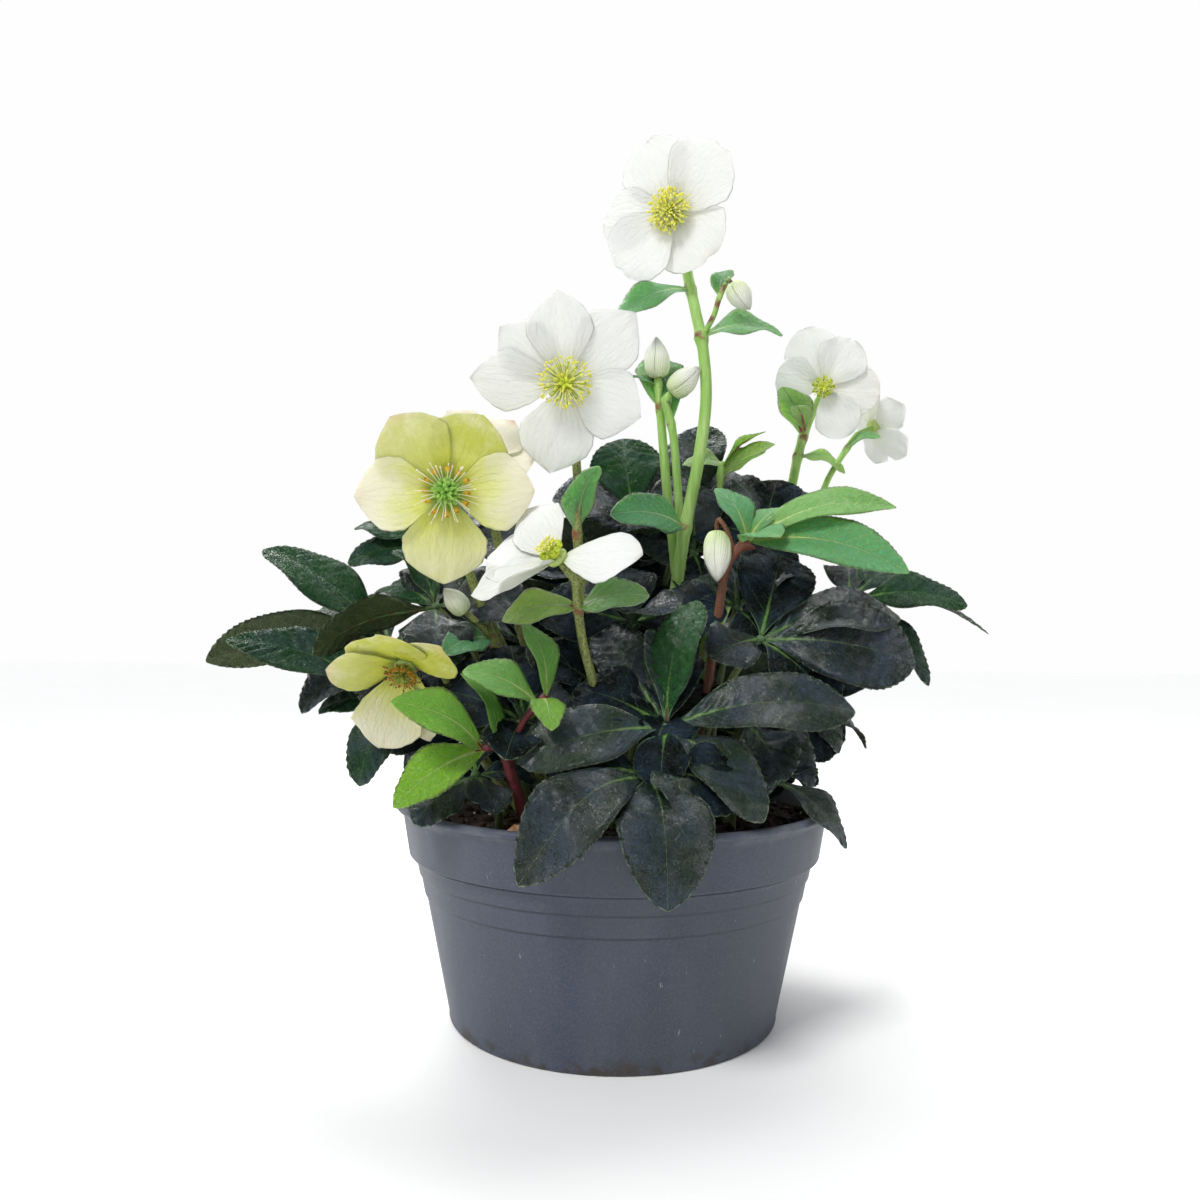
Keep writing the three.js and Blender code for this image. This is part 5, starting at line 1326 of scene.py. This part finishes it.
shoots = {
    "shoot_right": {"foot": (42, -4), "radius": (2.7, 2.2), "skin": "redGreen",
     "route": [(46, -14, 150), (52, -28, 207), (58, -32, 238), (67, -34, 247)],
     "branches": [{"radius": (1.4, 1.1), "route": [(60, -32, 240), (56, -34, 252), (52, -33, 258)],
                   "bud": "bud_hanging"}],
     "bracts": [[67, -33, 246, 150, 60, 34, 22, 20, 0.0], [66, -35, 245, -62, 4, 28, 24, 20, 0.1],
                [68, -33, 246, -20, -10, 80, 31, 52, 0.05], [68, -32, 248, -6, 14, 76, 28, 35, 0.6],
                [68, -31, 250, 30, 40, 30, 14, 20, 0.2]]},
    "shoot_left": {"foot": (-42, -64), "radius": (3, 2.4), "skin": "red",
     "route": [(-45, -67, 121), (-49, -72, 135), (-51, -76, 146)],
     "branches": [{"radius": (1.9, 1.3), "route": [(-50, -74, 142), (-41, -76, 160), (-32, -77, 170)]},
                  {"radius": (1.8, 1.3), "route": [(-50, -75, 143), (-56, -78, 146), (-61, -80, 145)]}],
     "bracts": [[-61, -80, 146, -146, 30, 50, 26, 50, 0.85], [-59, -79, 144, -155, -27, 49, 24, 45, 1.0],
                [-32, -76, 170, 150, 70, 38, 23, 0, 0.6], [-36, -77, 166, -166, 25, 38, 23, 40, 0.6],
                [-32, -77, 168, -80, -24, 28, 15, 0, 0.9], [-53, -76, 146, 160, 63, 40, 21, 0, 0.7]]},
}
stalkSkins = {
    "green": stalkSkin("stemGreen", "#88b552", "#b0d07e", flush="#7c3a36"),
    "speckled": stalkSkin("stemSpeckled", "#7f8f4a", "#a3ad66", "#5b3f3a", 0.85, "#8a4238"),
    "redGreen": stalkSkin("stemRedBrown", "#6d4030", "#8d6244", "#52302a", 0.5),
    "red": stalkSkin("stemRed", "#5c2229", "#84393a", "#45181e", 0.5, "#4a161d"),
}


# The stations of a stem or twig, carried on straight into the back of its bloom or bud
def stationsTo(stem):
    stations = [np.array(p, float) for p in stem["route"]]
    if "bloom" in stem:
        centre, forward, _, _ = bloomFrame(blooms[stem["bloom"]])
        back = receptacle["half"]
        stations += [centre - forward * (back + stemForm["neck"]), centre - forward * back]
    if "bud" in stem:
        bud = buds[stem["bud"]]
        base, aim = np.array(bud["base"], float), heading(*bud["aim"])
        stations += [base - aim * stemForm["budNeck"], base + aim * stemForm["budSink"]]
    return stations


# The line of a stem or twig, with a straight last stretch where it carries a bloom or bud
def stemLine(start, stem):
    points = [start, *stationsTo(stem)[0 if "foot" in stem else 1:]]
    if "bloom" in stem or "bud" in stem:
        return np.vstack([smoothLine(points[:-1]), points[-1]])
    return smoothLine(points)


def addStalk(grids, line, radius, nodes, flush):
    form = stemForm
    steps = np.concatenate([[0], np.cumsum(np.linalg.norm(np.diff(line, axis=0), axis=1))])
    share = steps / steps[-1]
    radii = radius[0] + (radius[1] - radius[0]) * share
    tone = np.full(len(line), float(flush))
    for spot in nodes:
        away = np.linalg.norm(line - spot, axis=1)
        radii = radii * (1 + form["nodeSwell"] * np.exp(-(away / form["nodeLong"]) ** 2))
        tone = np.maximum(tone, form["flushMost"] * np.exp(-(away / form["flushLong"]) ** 2))
    rings = tubeRings(line, radii, form["sides"])
    ridges = 1 + form["ridge"] * np.cos(form["ridges"] * around(form["sides"]))
    rings = line[:, None] + (rings - line[:, None]) * ridges[None, :, None]
    grids.addTube(rings, 0, along=share[:, None], tone=tone[:, None], chance=draw.uniform())


def makeStem(name, stem, style, bladeSkins):
    top = np.array([*stem["foot"], petiole["standTo"]], float)
    lines = [rooted(stem["foot"], stemLine(top, stem))]
    branches = stem.get("branches", [])
    for arm in branches:
        lines.append(stemLine(nearestOn(np.vstack(lines), arm["route"][0]), arm))
    grids = Grids()
    bracts = stem.get("bracts", [])
    spots = [nearestOn(np.vstack(lines), entry[:3]) for entry in bracts]
    nodes = spots + [line[0] for line in lines[1:]]
    for line, part in zip(lines, [stem] + branches):
        addStalk(grids, line, part["radius"], nodes, part.get("flush", 0.0))
    for spot, entry in zip(spots, bracts):
        addBlade(grids, spot, entry[3:8], style, 0.0, (1, 2, 3), entry[8])
    skins = [stalkSkins[stem["skin"]]] + bladeSkins
    grids.piece(name + "_fine", skins, [name])


for name, stem in stems.items():
    makeStem(name, stem, bract, bractSkins)
for name, stem in shoots.items():
    makeStem(name, stem, young, youngSkins)
print("stems and shoots standing:", len(stems) + len(shoots))


# Dry leaf
dryLeaf = {"place": (-56, -84, 102.9), "entry": [-10, 4, 20, 12, 10], "low": "#8a6344", "high": "#c79c74"}
dryForm = dict(bract, peak=0.6, bow=0.22, wave=2.4, waves=2.3, pucker=0.4, toothDepth=0.8, recurve=-0.1)


def makeDryLeaf():
    skin = Skin("dryLeaf", Specular_IOR_Level=0.25)
    flat = skin.flat()
    base = skin.mix(skin.span(skin.cloud(flat, 30, 5), 0.35, 0.68), dryLeaf["low"], dryLeaf["high"])
    base = skin.over(base, dryLeaf["low"], skin.cells(flat, 60), 0.08, 0.0, 0.5)
    tan = skin.finish(base, 0.85, skin.bump(skin.cloud(flat, 70, 4), 0.0008))
    grids = Grids()
    addBlade(grids, np.array(dryLeaf["place"]), dryLeaf["entry"], dryForm, 0.0, (0, 0, 0))
    grids.piece("dry_leaf_fine", [tan], ["dry_leaf_scrap"])
    print("dry leaf laid")


makeDryLeaf()
